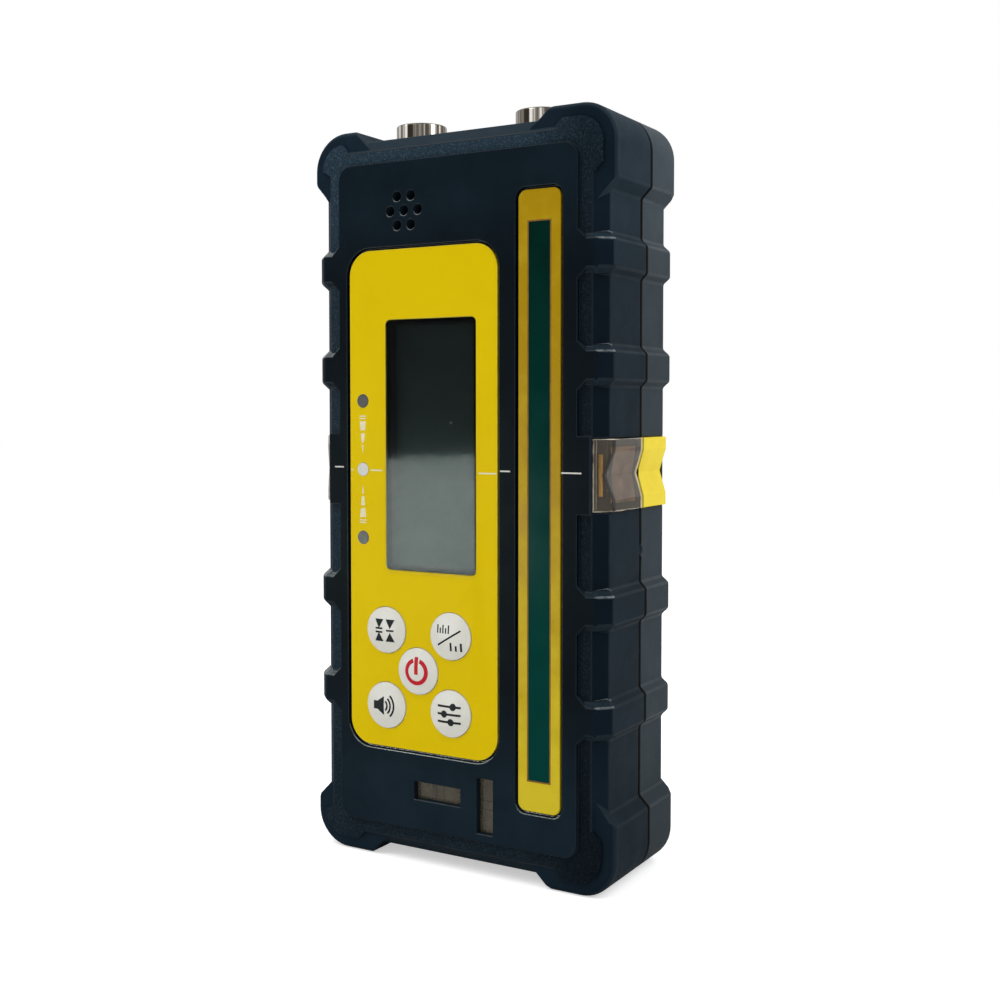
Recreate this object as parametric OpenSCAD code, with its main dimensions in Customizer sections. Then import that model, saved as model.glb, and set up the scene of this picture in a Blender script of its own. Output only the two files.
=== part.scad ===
// Hand-held receiver for a rotary laser level, standing on its bottom bumpers.
// X points right, Y points to the back (the display faces -Y) and Z points up.
// The origin is under the middle of the receiver, on the surface that it stands on.
// Every depth counts from the smooth front panel towards the back.

/* [Face layout] */
// Clear length of the green reception window
window_len = 127; // [110:1:150]
// Clear width of the reception window
window_w = 5.5; // [4:0.1:8]
// Yellow frame beyond each end of the reception window
frame_end = 7.2; // [5:0.1:12]
// Yellow frame beside the reception window
frame_side = 2.7; // [2:0.1:5]
// Case to the left of the overlay
margin_left = 9.4; // [8.5:0.1:14]
// Panel between the overlay and the reception frame
face_gap = 5.5; // [4:0.1:12]
// Case to the right of the reception frame
margin_right = 10.6; // [9.5:0.1:16]
// Case above the reception frame
margin_top = 16; // [15:0.1:26]
// Case below the reception frame
margin_bottom = 15.5; // [12:0.1:24]
// Case above the keypad overlay
overlay_over = 27.1; // [26:0.1:36]
// Corner radius of the overlay
overlay_r = 6; // [2:0.5:8]
// Corner radius of the reception frame
frame_r = 2; // [0.5:0.1:4]

/* [Case] */
// Depth of the front shell, from the front panel to the parting plane
front_depth = 20; // [18:0.5:26]
// Depth of the rear shell
rear_depth = 16; // [15:0.5:24]
// Wall thickness of both shells
wall = 2.4; // [2:0.1:3]
// Leg of the 45 degree bevel round the front
edge_bevel = 3.1; // [2:0.1:4]
// Leg of the 45 degree bevel round the back
back_bevel = 3; // [2:0.1:4]
// Step from the front panel down to the textured band
band_step = 1; // [0.5:0.1:1.6]
// Width of the textured band
band_w = 3.2; // [2:0.1:5]
// Corner radius of the case
corner_r = 5; // [3:0.5:8]
// Corner radius of the front panel
panel_r = 3.5; // [2:0.5:6]
// Thickness of the case gasket
gasket_t = 0.5; // [0.3:0.1:1]
// How far the gasket lies behind the case sides
gasket_in = 0.6; // [0.3:0.1:1.2]

/* [Bumpers] */
// How far the bumpers stand out from the case
bumper_out = 2.5; // [1.5:0.1:4]
// Outer corner radius of the bumpers
bumper_r = 9; // [6:0.5:11]
// Small bevel on the bumpers' front and back edges
bumper_bevel = 1; // [0.4:0.1:1.6]
// Depth of the bumpers' front face behind the panel, and the same at the back
bumper_set = 1.7; // [1.2:0.1:3]
// Run of the left bumpers along the side
bumper_side_left = 11.8; // [11:0.2:20]
// Run of the right bumpers along the side
bumper_side_right = 17; // [11:0.2:20]
// Run of the top left bumper along the top
bumper_top_left = 12.4; // [11:0.2:20]
// Run of the other bumpers along the top and the bottom
bumper_run = 16.6; // [11:0.2:20]

/* [Ribs] */
// How far the side ribs stand out from the case
rib_out = 1.45; // [1.2:0.05:2.4]
// Flat crest of a rib
rib_crest = 6.3; // [4:0.1:10]
// Distance between the two ribs of a pair
rib_pitch = 24.7; // [20:0.1:28]
// First rib above the index line
rib_above = 24.4; // [20:0.1:30]
// First rib below the index line
rib_below = 30.1; // [22:0.1:32]
// How far the ribs end short of the back
rib_short = 0.5; // [0.3:0.1:1]
// Corner cut where the front panel runs out over a rib
rib_jog = 2.3; // [1:0.1:2.6]

/* [Side index] */
// Height of the side index blocks
index_h = 16.3; // [14:0.1:18]
// How far the index blocks stand out from the case
index_out = 0.8; // [0.4:0.1:1.4]
// Depth of the blocks' seat in the wall
index_seat = 1.5; // [1:0.1:1.6]
// Depth of the V groove
groove_d = 1.6; // [0.8:0.1:1.8]
// Half width of the V groove at its mouth
groove_half = 5.3; // [3:0.1:6]

/* [Display and keys] */
// Width of the display window
lcd_w = 25.5; // [21:0.5:40]
// Height of the display window
lcd_h = 60.3; // [50:0.1:75]
// Overlay above the display window
lcd_over = 16.85; // [12:0.05:24]
// Overlay to the right of the display window
lcd_side = 5.85; // [5:0.05:9]
// Middle of the display window above the index line
lcd_up = 6; // [4:0.1:8]
// Radius of a status lamp lens
led_r = 1.6; // [1:0.1:1.9]
// Distance between status lamps
led_pitch = 16.7; // [12:0.1:20]
// Status lamps in from the overlay's left edge
led_in = 3.8; // [3:0.1:5]
// From the status lamps to the display window
led_lcd = 6.85; // [6:0.05:10]
// Radius of a key cap
key_r = 5.6; // [4.5:0.1:5.7]
// Crown of a key cap in front of the panel
key_proud = 0.8; // [0.5:0.1:1.4]
// Travel of a key
key_travel = 0.5; // [0.3:0.05:0.6]
// Overlay between the display window and the upper keys
key_over = 9.15; // [6:0.05:14]
// Overlay below the lower keys
key_under = 4.6; // [3:0.1:9]
// Power key left of the overlay's middle
key_left = 1; // [0:0.1:2]
// Sideways distance from the power key to the others
key_dx = 9.25; // [9.2:0.05:10.5]
// Upward and downward distance from the power key to the others
key_dz = 9.2; // [9.1:0.05:10]

/* [Speaker and levels] */
// Radius of a speaker hole
hole_r = 1.2; // [0.6:0.05:1.4]
// Radius of the ring of speaker holes
hole_ring = 3.95; // [3:0.05:4.5]
// Speaker left of the overlay's middle
speaker_left = 4.75; // [2:0.05:8]
// Speaker above the overlay
speaker_up = 9; // [8:0.1:11]
// Length of a level window
level_len = 13; // [9:0.1:14]
// Width of a level window
level_w = 4.3; // [3:0.1:5]
// Middle of the lying level above the middle of the standing level
level_up = 1.1; // [0:0.1:2.5]
// Lower end of the standing level's window above the bottom of the case
upright_low = 8.2; // [7:0.1:12]
// Panel between the standing level's window and the overlay
upright_over = 4.1; // [2.6:0.1:6]
// Panel between the standing level's window and the reception frame
upright_side = 6.65; // [6:0.05:9]

/* [Magnets] */
// Radius of a magnet
magnet_r = 6.2; // [4:0.1:6.3]
// Height of a magnet
magnet_h = 6.5; // [5:0.1:8]
// How far a magnet stands out of the top
magnet_out = 4; // [2:0.1:5]
// Distance of each magnet from the middle
magnet_x = 16.9; // [12:0.1:20]
// Front shell behind the magnets
magnet_back = 0.6; // [0.5:0.1:3]

/* [Battery bay] */
// Radius of an AA cell
cell_r = 7.1; // [6.9:0.05:7.25]
// Length of an AA cell with its nub
cell_len = 50.2; // [49.5:0.1:50.8]
// Thickness of the battery door
door_t = 2; // [1.6:0.1:2.4]
// Bottom of the door above the bottom of the case
door_up = 16; // [12:0.5:24]
// Ledge that the door rests on
ledge_w = 4; // [3:0.1:6]
// Radius of the door screw's head
screw_head_r = 4; // [3:0.1:4.5]

/* [Back] */
// Tapped radius of the clamp insert, 1/4 inch thread
clamp_r = 2.55; // [2:0.05:3.2]
// Length of the clamp insert
clamp_len = 10; // [8:0.5:12]
// Clamp insert above the index line
clamp_up = 36; // [30:1:50]

/* [Clearances] */
// Groove left round the overlay and the reception frame
groove_gap = 0.6; // [0.3:0.1:1]
// Gap round each key cap
key_gap = 0.3; // [0.2:0.05:0.5]
// Gap round pieces that are glued or clipped in place
seat_gap = 0.05; // [0.02:0.01:0.15]
// Gap round the battery door
door_gap = 0.4; // [0.3:0.05:0.6]
// Running gap of a key stem in its switch
stem_gap = 0.08; // [0.05:0.01:0.1]
// Gap between neighbouring pieces that don't touch
free_gap = 0.3; // [0.2:0.05:0.5]

/* [Hidden] */
$fn = 64;
big = 200;
// Overlap that joins two shapes of one piece
lap = 0.5;

// Case outline
frame_w = window_w + 2 * frame_side;
frame_h = window_len + 2 * frame_end;
overlay_w = led_in + led_lcd + lcd_w + lcd_side;
overlay_h = lcd_over + lcd_h + key_over + 2 * key_r + 2 * key_dz + key_under;
overlay_lift = upright_low + level_len + upright_over;
body_w = margin_left + overlay_w + face_gap + frame_w + margin_right;
body_h = max(margin_bottom + frame_h + margin_top, overlay_lift + overlay_h + overlay_over);
body_d = front_depth + rear_depth;
half_w = body_w / 2;
base_z = bumper_out;
top_z = base_z + body_h;
mid_z = base_z + body_h / 2;
front_y = (key_proud - body_d) / 2;
part_front = front_depth - gasket_t / 2;
part_back = front_depth + gasket_t / 2;
// Shapes of a shell run a little past the parting plane, where one cut trims them all
join_front = part_front + lap;
join_back = part_back - lap;
panel_in = band_w + edge_bevel;
panel_x = half_w - panel_in;
side_bevel_d = band_step + edge_bevel;
inner_front = band_step + wall;
inner_back = body_d - wall;

// Places on the face
window_z = base_z + margin_bottom + frame_h / 2;
frame_x = half_w - margin_right - frame_w / 2;
overlay_left = -half_w + margin_left;
overlay_right = overlay_left + overlay_w;
overlay_bottom = base_z + overlay_lift;
overlay_top = overlay_bottom + overlay_h;
overlay_x = (overlay_left + overlay_right) / 2;
overlay_z = (overlay_bottom + overlay_top) / 2;
lcd_x = overlay_right - lcd_side - lcd_w / 2;
lcd_z = overlay_top - lcd_over - lcd_h / 2;
index_z = lcd_z - lcd_up;
led_x = overlay_left + led_in;
led_z = [for (i = [-1:1]) index_z + i * led_pitch];
key_x = overlay_x - key_left;
key_z = overlay_bottom + key_under + key_r + key_dz;
key_at = [[key_x - key_dx, key_z + key_dz], [key_x + key_dx, key_z + key_dz], [key_x, key_z],
          [key_x - key_dx, key_z - key_dz], [key_x + key_dx, key_z - key_dz]];
speaker_x = overlay_x - speaker_left;
speaker_z = overlay_top + speaker_up;
speaker_holes = concat([[speaker_x, speaker_z]],
    [for (i = [0:5]) [speaker_x + hole_ring * cos(60 * i), speaker_z + hole_ring * sin(60 * i)]]);
rib_z = [for (i = [0:1]) each [index_z + rib_above + i * rib_pitch, index_z - rib_below - i * rib_pitch]];

// Level vials: a clear block with a face in its window, a blind chamber for the spirit and a plug
vial_face = 1.6;
vial_wall = 1.9;
vial_apart = 0.85;
vial_depth = level_w + 2 * vial_wall;
vial_len = level_len + 2 * vial_wall;
spirit_r = level_w / 2 + seat_gap;
plug_len = 1.5;
upright_x = frame_x - frame_w / 2 - upright_side - level_w / 2;
upright_z = base_z + upright_low + level_len / 2;
level_x = upright_x - level_w / 2 - 2 * vial_wall - vial_apart - level_len / 2;
level_z = upright_z + level_up;

// Flush plates in the front panel, and what lies behind them
plate_t = 1;
plate_sink = 0.3;
recess_d = plate_sink + plate_t;
lcd_rim = 1.2;
lcd_margin = 2.6;
lcd_t = 2.2;
lcd_frame_in = 0.5;
lens_len = 1.6;
lens_flange_w = 0.7;
lens_back = inner_front + lens_len;
filter_flange_w = 1.6;
filter_flange_t = 0.9;

// Keys, their switches and the boards
flange_t = 0.8;
flange_w = 0.7;
flange_front = inner_front + 2 * seat_gap;
key_rest = 0.1;
switch_top = flange_front + flange_t + key_travel + key_rest;
switch_h = 3.1;
switch_w = 6;
stem_r = 1.75;
stem_len = 2;
board_front = switch_top + switch_h;
board_t = 1.6;
board_back = board_front + board_t;

// Photodiodes, buzzer and speaker membrane
diode_w = 4.6;
diode_len = 5.6;
diode_t = 2;
diode_pitch = 7.4;
diode_count = floor((window_len - diode_len) / diode_pitch) + 1;
membrane_lap = 1.6;
membrane_r = hole_ring + hole_r + membrane_lap;
membrane_t = 0.3;
buzzer_lap = 1.6;
buzzer_r = membrane_r + buzzer_lap;

// Outlines of the main board and of the sensor board, and their stands and screws
board_side = 7;
board_in = 1.4;
board_over = 1.6;
board_split = 1.8;
strip_over = 2.4;
split_x = (overlay_right + frame_x - frame_w / 2) / 2;
main_left = -half_w + wall + board_side;
main_right = split_x - board_split / 2;
main_bottom = overlay_bottom + board_in;
main_top = speaker_z + buzzer_r + board_over;
strip_left = split_x + board_split / 2;
strip_right = 2 * frame_x - strip_left;
strip_bottom = window_z - frame_h / 2 - strip_over;
strip_top = window_z + frame_h / 2 + strip_over;
ribbon_lap = 4;
ribbon_half = 6;
ribbon_t = 0.6;
stand_r = 2.5;
stand_in = 3.2;
tap_r = 0.9;
tap_len = 3;
tap_room = 0.5;
small_head_r = 1.8;
small_head_h = 1.4;
main_stands = [for (x = [main_left + stand_in, main_right - stand_in])
               for (z = [main_bottom + stand_in, main_top - stand_in]) [x, z]];
strip_stands = [for (z = [strip_bottom + stand_in, strip_top - stand_in]) [frame_x, z]];
stands = concat(main_stands, strip_stands);

// Posts and screws of the case
post_r = 4.2;
post_step = 0.8;
post_len = 10;
post_bite = 0.2;
post_in = wall + post_r - post_bite;
post_front = front_depth - post_len;
post_at = [for (x = [-1, 1]) for (z = [base_z + post_in, top_z - post_in]) [x * (half_w - post_in), z]];
case_screw_r = 1.4;
case_head_r = 2.7;
case_head_h = 2.2;
case_head_deep = 5;
case_screw_bite = 8;
case_screw_room = 1;
case_seat = front_depth + case_head_deep;
case_screw_tip = front_depth - case_screw_bite;
cross_w = 3.4;
cross_t = 0.8;
cross_d = 1;

// Slots for prising the shells apart
pry_down = 18.1;
pry_r = 1.2;
pry_d = 1;

// Magnet seats
magnet_depth = part_front - magnet_back - seat_gap - magnet_r;
magnet_bottom = top_z + magnet_out - magnet_h;
cup_floor = 1.5;
cup_wall = 1.4;

// Panel beside the side index
index_land = 0.6;

// Battery bay
cell_apart = 1;
cell_side = 0.5;
cell_room = 0.4;
cell_pitch = 2 * cell_r + cell_apart;
contact_t = 0.4;
contact_bump = 1.2;
contact_r = 2.6;
contact_w = 9;
nub_r = 2.6;
nub_len = 1;
bay_wall = 1.5;
bay_half = cell_pitch / 2 + cell_r + cell_side;
bay_len = cell_len + 2 * (contact_t + contact_bump);
seal_t = 0.5;
seal_in = 0.3;
seal_room = 0.1;
ledge_t = 2;
ledge_d = body_d - door_t - seal_t - seal_room;
cell_d = ledge_d + cell_room - cell_r;
bay_floor = cell_d - cell_r - cell_room;

// Battery door, with two hooks at its lower edge and a screw near its upper edge
tab_len = 3;
tab_short = 0.6;
tab_t = 1.5;
tab_w = 9;
tab_x = bay_half - tab_w / 2;
tab_up = 0.2;
tab_back = ledge_d - door_gap;
tab_front = tab_back - tab_t;
bay_up = 2.4;
boss_room = 1.6;
door_over = 2.4;
door_bottom = base_z + door_up;
bay_bottom = door_bottom + ledge_w + bay_up;
bay_top = bay_bottom + bay_len;
door_screw_z = bay_top + bay_wall + screw_head_r + boss_room;
door_top = door_screw_z + screw_head_r + door_over;
door_half = bay_half + ledge_w;
door_z = (door_bottom + door_top) / 2;
door_h = door_top - door_bottom;
boss_wall = 1;
boss_len = 1.6;
screw_boss_r = screw_head_r + boss_wall;
screw_boss_d = ledge_d - boss_len;
screw_head_h = 1.6;
screw_slot_w = 1.2;
screw_slot_d = 0.8;
screw_r = 1.62;
nut_bore = 2.05;
nut_r = 3.4;
nut_len = 4;
nut_sink = 0.6;
nut_front = screw_boss_d - nut_sink - nut_len;
screw_short = 1.4;
screw_tip = nut_front + screw_short;
supply_r = 0.6;
supply_gap = 0.2;
supply_z = bay_top - supply_r - supply_gap;

// Clamp seat
clamp_z = index_z + clamp_up;
clamp_wall = 2.2;
clamp_out_r = clamp_r + clamp_wall;
pad_w = 34;
pad_h = 40;
pad_d = 0.6;
clamp_front = body_d - pad_d - clamp_len;

// Extrudes a front view, drawn as x and z, from one depth to another
module slab(d0, d1) {
    translate([0, front_y + d1, 0]) rotate([90, 0, 0]) linear_extrude(d1 - d0) children();
}

// Extrudes a plan view, drawn as x and depth, from one height to another
module column(z0, z1) {
    translate([0, front_y, z0]) linear_extrude(z1 - z0) children();
}

// Extrudes a side view, drawn as depth and z, from one x to another
module beam(x0, x1) {
    translate([x0, front_y, 0]) rotate([90, 0, 90]) linear_extrude(x1 - x0) children();
}

// Round bar along the depth
module rod(x, z, d0, d1, r) {
    translate([x, front_y + d0, z]) rotate([-90, 0, 0]) cylinder(h = d1 - d0, r = r);
}

// Rectangle with round corners, centred on a point
module round_rect(x, z, w, h, r) {
    translate([x, z]) {
        square([w - 2 * r, h], center = true);
        square([w, h - 2 * r], center = true);
        for (i = [-1, 1], j = [-1, 1]) translate([i * (w / 2 - r), j * (h / 2 - r)]) circle(r);
    }
}

module block(x0, x1, d0, d1, z0, z1) {
    translate([x0, front_y + d0, z0]) cube([x1 - x0, d1 - d0, z1 - z0]);
}

module on_both_sides() {
    children();
    mirror([1, 0, 0]) children();
}

// Front shell form with bevelled edges, drawn in by the given inset
module front_form(inset) {
    bevel = edge_bevel - inset * (2 - sqrt(2));
    w = half_w - inset;
    d = band_step + inset;
    z0 = base_z + inset;
    z1 = top_z - inset;
    intersection() {
        slab(d, join_front) round_rect(0, mid_z, 2 * w, z1 - z0, corner_r);
        column(z0, z1) polygon([[-w, join_front], [-w, d + bevel], [bevel - w, d],
                                [w - bevel, d], [w, d + bevel], [w, join_front]]);
        beam(-w, w) polygon([[join_front, z0], [d + bevel, z0], [d, z0 + bevel],
                             [d, z1 - bevel], [d + bevel, z1], [join_front, z1]]);
    }
}

// Rear shell form with bevelled edges, drawn in by the given inset
module rear_form(inset) {
    bevel = back_bevel - inset * (2 - sqrt(2));
    w = half_w - inset;
    d = body_d - inset;
    z0 = base_z + inset;
    z1 = top_z - inset;
    intersection() {
        slab(join_back, d) round_rect(0, mid_z, 2 * w, z1 - z0, corner_r);
        column(z0, z1) polygon([[-w, join_back], [-w, d - bevel], [bevel - w, d],
                                [w - bevel, d], [w, d - bevel], [w, join_back]]);
        beam(-w, w) polygon([[join_back, z0], [d - bevel, z0], [d, z0 + bevel],
                             [d, z1 - bevel], [d - bevel, z1], [join_back, z1]]);
    }
}

// Wedge that narrows to the rib's crest towards +X
module rib_wedge(crest_x) {
    reach = 2 * front_depth + rear_depth;
    rotate([90, 0, 0]) linear_extrude(2 * big, center = true)
        polygon([[crest_x, -rib_crest / 2], [crest_x, rib_crest / 2],
                 [crest_x - reach, rib_crest / 2 + reach], [crest_x - reach, -rib_crest / 2 - reach]]);
}

// One rib of the front shell, over the band, the bevel and the side
module front_rib(z) {
    side = half_w + rib_out;
    half = rib_crest / 2 + rib_out;
    bevel_crest = (side - edge_bevel) / sqrt(2);
    intersection() {
        column(z - half, z + half)
            polygon([[panel_x - lap, 0], [side - edge_bevel, 0], [side, edge_bevel],
                     [side, join_front], [panel_x - lap, join_front]]);
        translate([0, front_y, z]) rib_wedge(side);
        translate([0, front_y, z]) rotate([0, 0, -45]) rib_wedge(bevel_crest);
        translate([0, front_y, z]) rotate([0, 0, -90]) rib_wedge(0);
    }
}

// One rib of the rear shell, over the side and the back bevel
module rear_rib(z) {
    side = half_w + rib_out;
    half = rib_crest / 2 + rib_out;
    edge = body_d - back_bevel + rib_out * (sqrt(2) - 1);
    end = body_d - rib_short;
    bevel_crest = (side + edge) / sqrt(2);
    intersection() {
        column(z - half, z + half)
            polygon([[half_w - back_bevel - lap, join_back], [side, join_back], [side, edge],
                     [side - end + edge, end], [half_w - back_bevel - lap, end]]);
        translate([0, front_y, z]) rib_wedge(side);
        translate([0, front_y, z]) rotate([0, 0, 45]) rib_wedge(bevel_crest);
    }
}

// Bumper on the right side's lower corner, between two depths, with a small bevel at its outer end
module corner_bumper(d_end, d_part, side_run, end_run) {
    out = half_w + bumper_out;
    dir = sign(d_part - d_end);
    inner = half_w - edge_bevel;
    crest_z = base_z + side_run - bumper_out;
    crest_x = half_w - end_run + bumper_out;
    lo = min(d_end, d_part);
    hi = max(d_end, d_part);
    profile = [[0, d_end], [bumper_r - bumper_bevel, d_end], [bumper_r, d_end + dir * bumper_bevel],
               [bumper_r, d_part], [0, d_part]];
    cx = out - bumper_r;
    cz = bumper_r;
    translate([cx, front_y, cz]) rotate([-90, 0, 0]) rotate_extrude(angle = 90) polygon(profile);
    intersection() {
        column(cz, cz + big) polygon([for (p = profile) [cx + p[0], p[1]]]);
        slab(lo, hi) polygon([[inner, cz], [out, cz], [out, crest_z], [half_w, crest_z + bumper_out],
                              [inner, crest_z + bumper_out + edge_bevel]]);
    }
    intersection() {
        mirror([1, 0, 0]) beam(-cx, big) polygon([for (p = profile) [p[1], cz - p[0]]]);
        slab(lo, hi) polygon([[cx, base_z + edge_bevel], [cx, 0], [crest_x, 0],
                              [crest_x - bumper_out, base_z],
                              [crest_x - bumper_out - edge_bevel, base_z + edge_bevel]]);
    }
}

// The four bumpers of one shell
module bumpers(d_end, d_part) {
    corner_bumper(d_end, d_part, bumper_side_right, bumper_run);
    mirror([1, 0, 0]) corner_bumper(d_end, d_part, bumper_side_left, bumper_run);
    translate([0, 0, 2 * mid_z]) mirror([0, 0, 1]) {
        corner_bumper(d_end, d_part, bumper_side_right, bumper_run);
        mirror([1, 0, 0]) corner_bumper(d_end, d_part, bumper_side_left, bumper_top_left);
    }
}

// Outline of the smooth front panel, which runs out over the ribs and the side index
module panel_outline() {
    reach = half_w + rib_out - edge_bevel;
    crest = rib_crest / 2;
    round_rect(0, mid_z, 2 * panel_x, body_h - 2 * panel_in, panel_r);
    for (side = [-1, 1]) {
        for (z = rib_z) polygon([[side * (panel_x - lap), z - crest - rib_jog - lap],
                                 [side * (panel_x + rib_jog), z - crest],
                                 [side * reach, z - crest], [side * reach, z + crest],
                                 [side * (panel_x + rib_jog), z + crest],
                                 [side * (panel_x - lap), z + crest + rib_jog + lap]]);
        translate([side * panel_x, index_z]) square([2 * band_w, index_h + 2 * index_land], center = true);
    }
}

// Plan of a clear side block, following the bevel and the side of the case
module lens_plan() {
    out = half_w + index_out;
    seat = half_w - index_seat;
    edge = side_bevel_d + index_out * (sqrt(2) - 1);
    seat_edge = side_bevel_d + index_seat * (sqrt(2) - 1);
    start = half_w - edge_bevel;
    polygon([[start, band_step], [out - edge + band_step, band_step], [out, edge], [out, part_front],
             [seat, part_front], [seat, seat_edge], [start, seat_edge - seat + start]]);
}

module side_groove() {
    out = half_w + index_out;
    slab(-lap, body_d) polygon([[out - groove_d, index_z], [out, index_z + groove_half],
                                [out + lap, index_z + groove_half + lap],
                                [out + lap, index_z - groove_half - lap], [out, index_z - groove_half]]);
}

module side_lens() {
    difference() {
        column(index_z - index_h / 2, index_z + index_h / 2) lens_plan();
        side_groove();
    }
}

module side_index() {
    difference() {
        block(half_w - index_seat, half_w + index_out, part_back, body_d - back_bevel,
              index_z - index_h / 2, index_z + index_h / 2);
        side_groove();
    }
}

module front_housing() color("#20262c") difference() {
    union() {
        difference() {
            union() {
                front_form(0);
                slab(0, inner_front) panel_outline();
                for (z = rib_z) on_both_sides() front_rib(z);
                bumpers(bumper_set, join_front);
            }
            front_form(wall);
            block(-big, big, part_front, big, -big, big);
        }
        for (p = post_at) rod(p[0], p[1], post_front, part_front - lap, post_r);
        for (p = post_at) rod(p[0], p[1], inner_front - lap, post_front + lap, post_r - post_step);
        for (p = stands) rod(p[0], p[1], inner_front - lap, board_front, stand_r);
        for (x = [-magnet_x, magnet_x])
            block(x - magnet_r - cup_wall, x + magnet_r + cup_wall, inner_front, part_front - lap / 2,
                  magnet_bottom - cup_floor, top_z - wall + lap);
    }
    for (p = post_at) rod(p[0], p[1], case_screw_tip - case_screw_room, part_front + lap,
                          case_screw_r + seat_gap);
    for (p = stands) rod(p[0], p[1], board_front - tap_len - tap_room, board_front + lap, tap_r + seat_gap);
    for (x = [-magnet_x, magnet_x])
        translate([x, front_y + magnet_depth, magnet_bottom]) cylinder(h = magnet_h, r = magnet_r + seat_gap);
    slab(-lap, recess_d) round_rect(overlay_x, overlay_z, overlay_w + 2 * groove_gap,
                                    overlay_h + 2 * groove_gap, overlay_r + groove_gap);
    slab(-lap, recess_d) round_rect(frame_x, window_z, frame_w + 2 * groove_gap, frame_h + 2 * groove_gap,
                                    frame_r + groove_gap);
    slab(0, inner_front + lap) translate([lcd_x, lcd_z])
        square([lcd_w - 2 * lcd_rim, lcd_h - 2 * lcd_rim], center = true);
    slab(0, inner_front + lap) translate([frame_x, window_z]) square([window_w, window_len], center = true);
    for (p = key_at) rod(p[0], p[1], 0, inner_front + lap, key_r + key_gap);
    for (z = led_z) rod(led_x, z, 0, inner_front + lap, led_r + seat_gap);
    for (p = speaker_holes) rod(p[0], p[1], -lap, inner_front + lap, hole_r);
    slab(-lap, inner_front + lap) {
        translate([level_x, level_z]) square([level_len, level_w], center = true);
        translate([upright_x, upright_z]) square([level_w, level_len], center = true);
    }
    on_both_sides() column(index_z - index_h / 2 - seat_gap, index_z + index_h / 2 + seat_gap) lens_plan();
}

module rear_housing() color("#252b31") difference() {
    union() {
        difference() {
            union() {
                rear_form(0);
                for (z = rib_z) on_both_sides() rear_rib(z);
                bumpers(body_d - bumper_set, join_back);
            }
            rear_form(wall);
            block(-big, big, -big, part_back, -big, big);
        }
        for (p = post_at) rod(p[0], p[1], part_back + lap, inner_back + lap, post_r);
        block(-door_half - bay_wall, door_half + bay_wall, ledge_d - ledge_t, inner_back + lap,
              door_bottom - tab_len - bay_wall, door_top + bay_wall);
        block(-bay_half - bay_wall, bay_half + bay_wall, bay_floor - bay_wall, inner_back + lap,
              bay_bottom - bay_wall, bay_top + bay_wall);
        rod(0, door_screw_z, nut_front - bay_wall, inner_back + lap, screw_boss_r + bay_wall);
        rod(0, clamp_z, clamp_front - bay_wall, inner_back + lap, clamp_out_r + bay_wall);
    }
    for (p = post_at) {
        rod(p[0], p[1], part_back - lap, case_seat + lap, case_screw_r + free_gap);
        rod(p[0], p[1], case_seat, body_d + lap, case_head_r + free_gap);
    }
    slab(ledge_d, body_d + lap) translate([0, door_z])
        square([2 * (door_half + door_gap), door_h + 2 * door_gap], center = true);
    block(-bay_half, bay_half, bay_floor, body_d, bay_bottom, bay_top);
    for (x = [-tab_x, tab_x])
        block(x - tab_w / 2 - door_gap, x + tab_w / 2 + door_gap, ledge_d - ledge_t - lap, ledge_d + lap,
              door_bottom - tab_len - door_gap, door_bottom + tab_len + tab_t + door_gap);
    rod(0, door_screw_z, screw_boss_d - door_gap, body_d, screw_boss_r + 2 * door_gap);
    rod(0, door_screw_z, nut_front, screw_boss_d, nut_r + seat_gap);
    for (x = [-1, 1])
        rod(x * cell_pitch / 2, supply_z, bay_floor - bay_wall - lap, bay_floor + lap, supply_r + supply_gap);
    slab(body_d - pad_d, body_d + lap) round_rect(0, clamp_z, pad_w, pad_h, corner_r);
    rod(0, clamp_z, clamp_front, body_d, clamp_out_r + seat_gap);
    on_both_sides() {
        block(half_w - index_seat, half_w + lap, part_back - lap, body_d - back_bevel,
              index_z - index_h / 2 - seat_gap, index_z + index_h / 2 + seat_gap);
        translate([half_w - pry_d, front_y + part_back, index_z - pry_down])
            rotate([0, 90, 0]) cylinder(h = 2 * pry_d, r = pry_r);
    }
}

module case_gasket() color("#0c0d0e") slab(part_front, part_back) difference() {
    round_rect(0, mid_z, body_w - 2 * gasket_in, body_h - 2 * gasket_in, corner_r);
    round_rect(0, mid_z, body_w - 2 * wall, body_h - 2 * wall, corner_r);
}

module case_screws() color("#8d9196") for (p = post_at) {
    rod(p[0], p[1], case_screw_tip, case_seat + lap, case_screw_r);
    difference() {
        rod(p[0], p[1], case_seat, case_seat + case_head_h, case_head_r);
        for (a = [0, 90]) translate([p[0], front_y + case_seat + case_head_h, p[1]]) rotate([0, a, 0])
            cube([cross_w, 2 * cross_d, cross_t], center = true);
    }
}

module side_lens_left() color("#8a8378", 0.6) mirror([1, 0, 0]) side_lens();
module side_lens_right() color("#8a8378", 0.6) side_lens();
module side_index_left() color("#f0dc32") mirror([1, 0, 0]) side_index();
module side_index_right() color("#f0dc32") side_index();

module magnet(x) {
    translate([x, front_y + magnet_depth, magnet_bottom]) cylinder(h = magnet_h, r = magnet_r);
}
module magnet_left() color("#c9c6bd") magnet(-magnet_x);
module magnet_right() color("#c9c6bd") magnet(magnet_x);

module keypad_overlay() color("#dcc300") difference() {
    slab(plate_sink, recess_d) round_rect(overlay_x, overlay_z, overlay_w, overlay_h, overlay_r);
    slab(0, recess_d + lap) translate([lcd_x, lcd_z]) square([lcd_w, lcd_h], center = true);
    for (p = key_at) rod(p[0], p[1], 0, recess_d + lap, key_r + key_gap);
    for (z = led_z) rod(led_x, z, 0, recess_d + lap, led_r + seat_gap);
}

module lcd_window() color("#1c2420", 0.7) slab(plate_sink, recess_d) translate([lcd_x, lcd_z])
    square([lcd_w - 2 * seat_gap, lcd_h - 2 * seat_gap], center = true);

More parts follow.
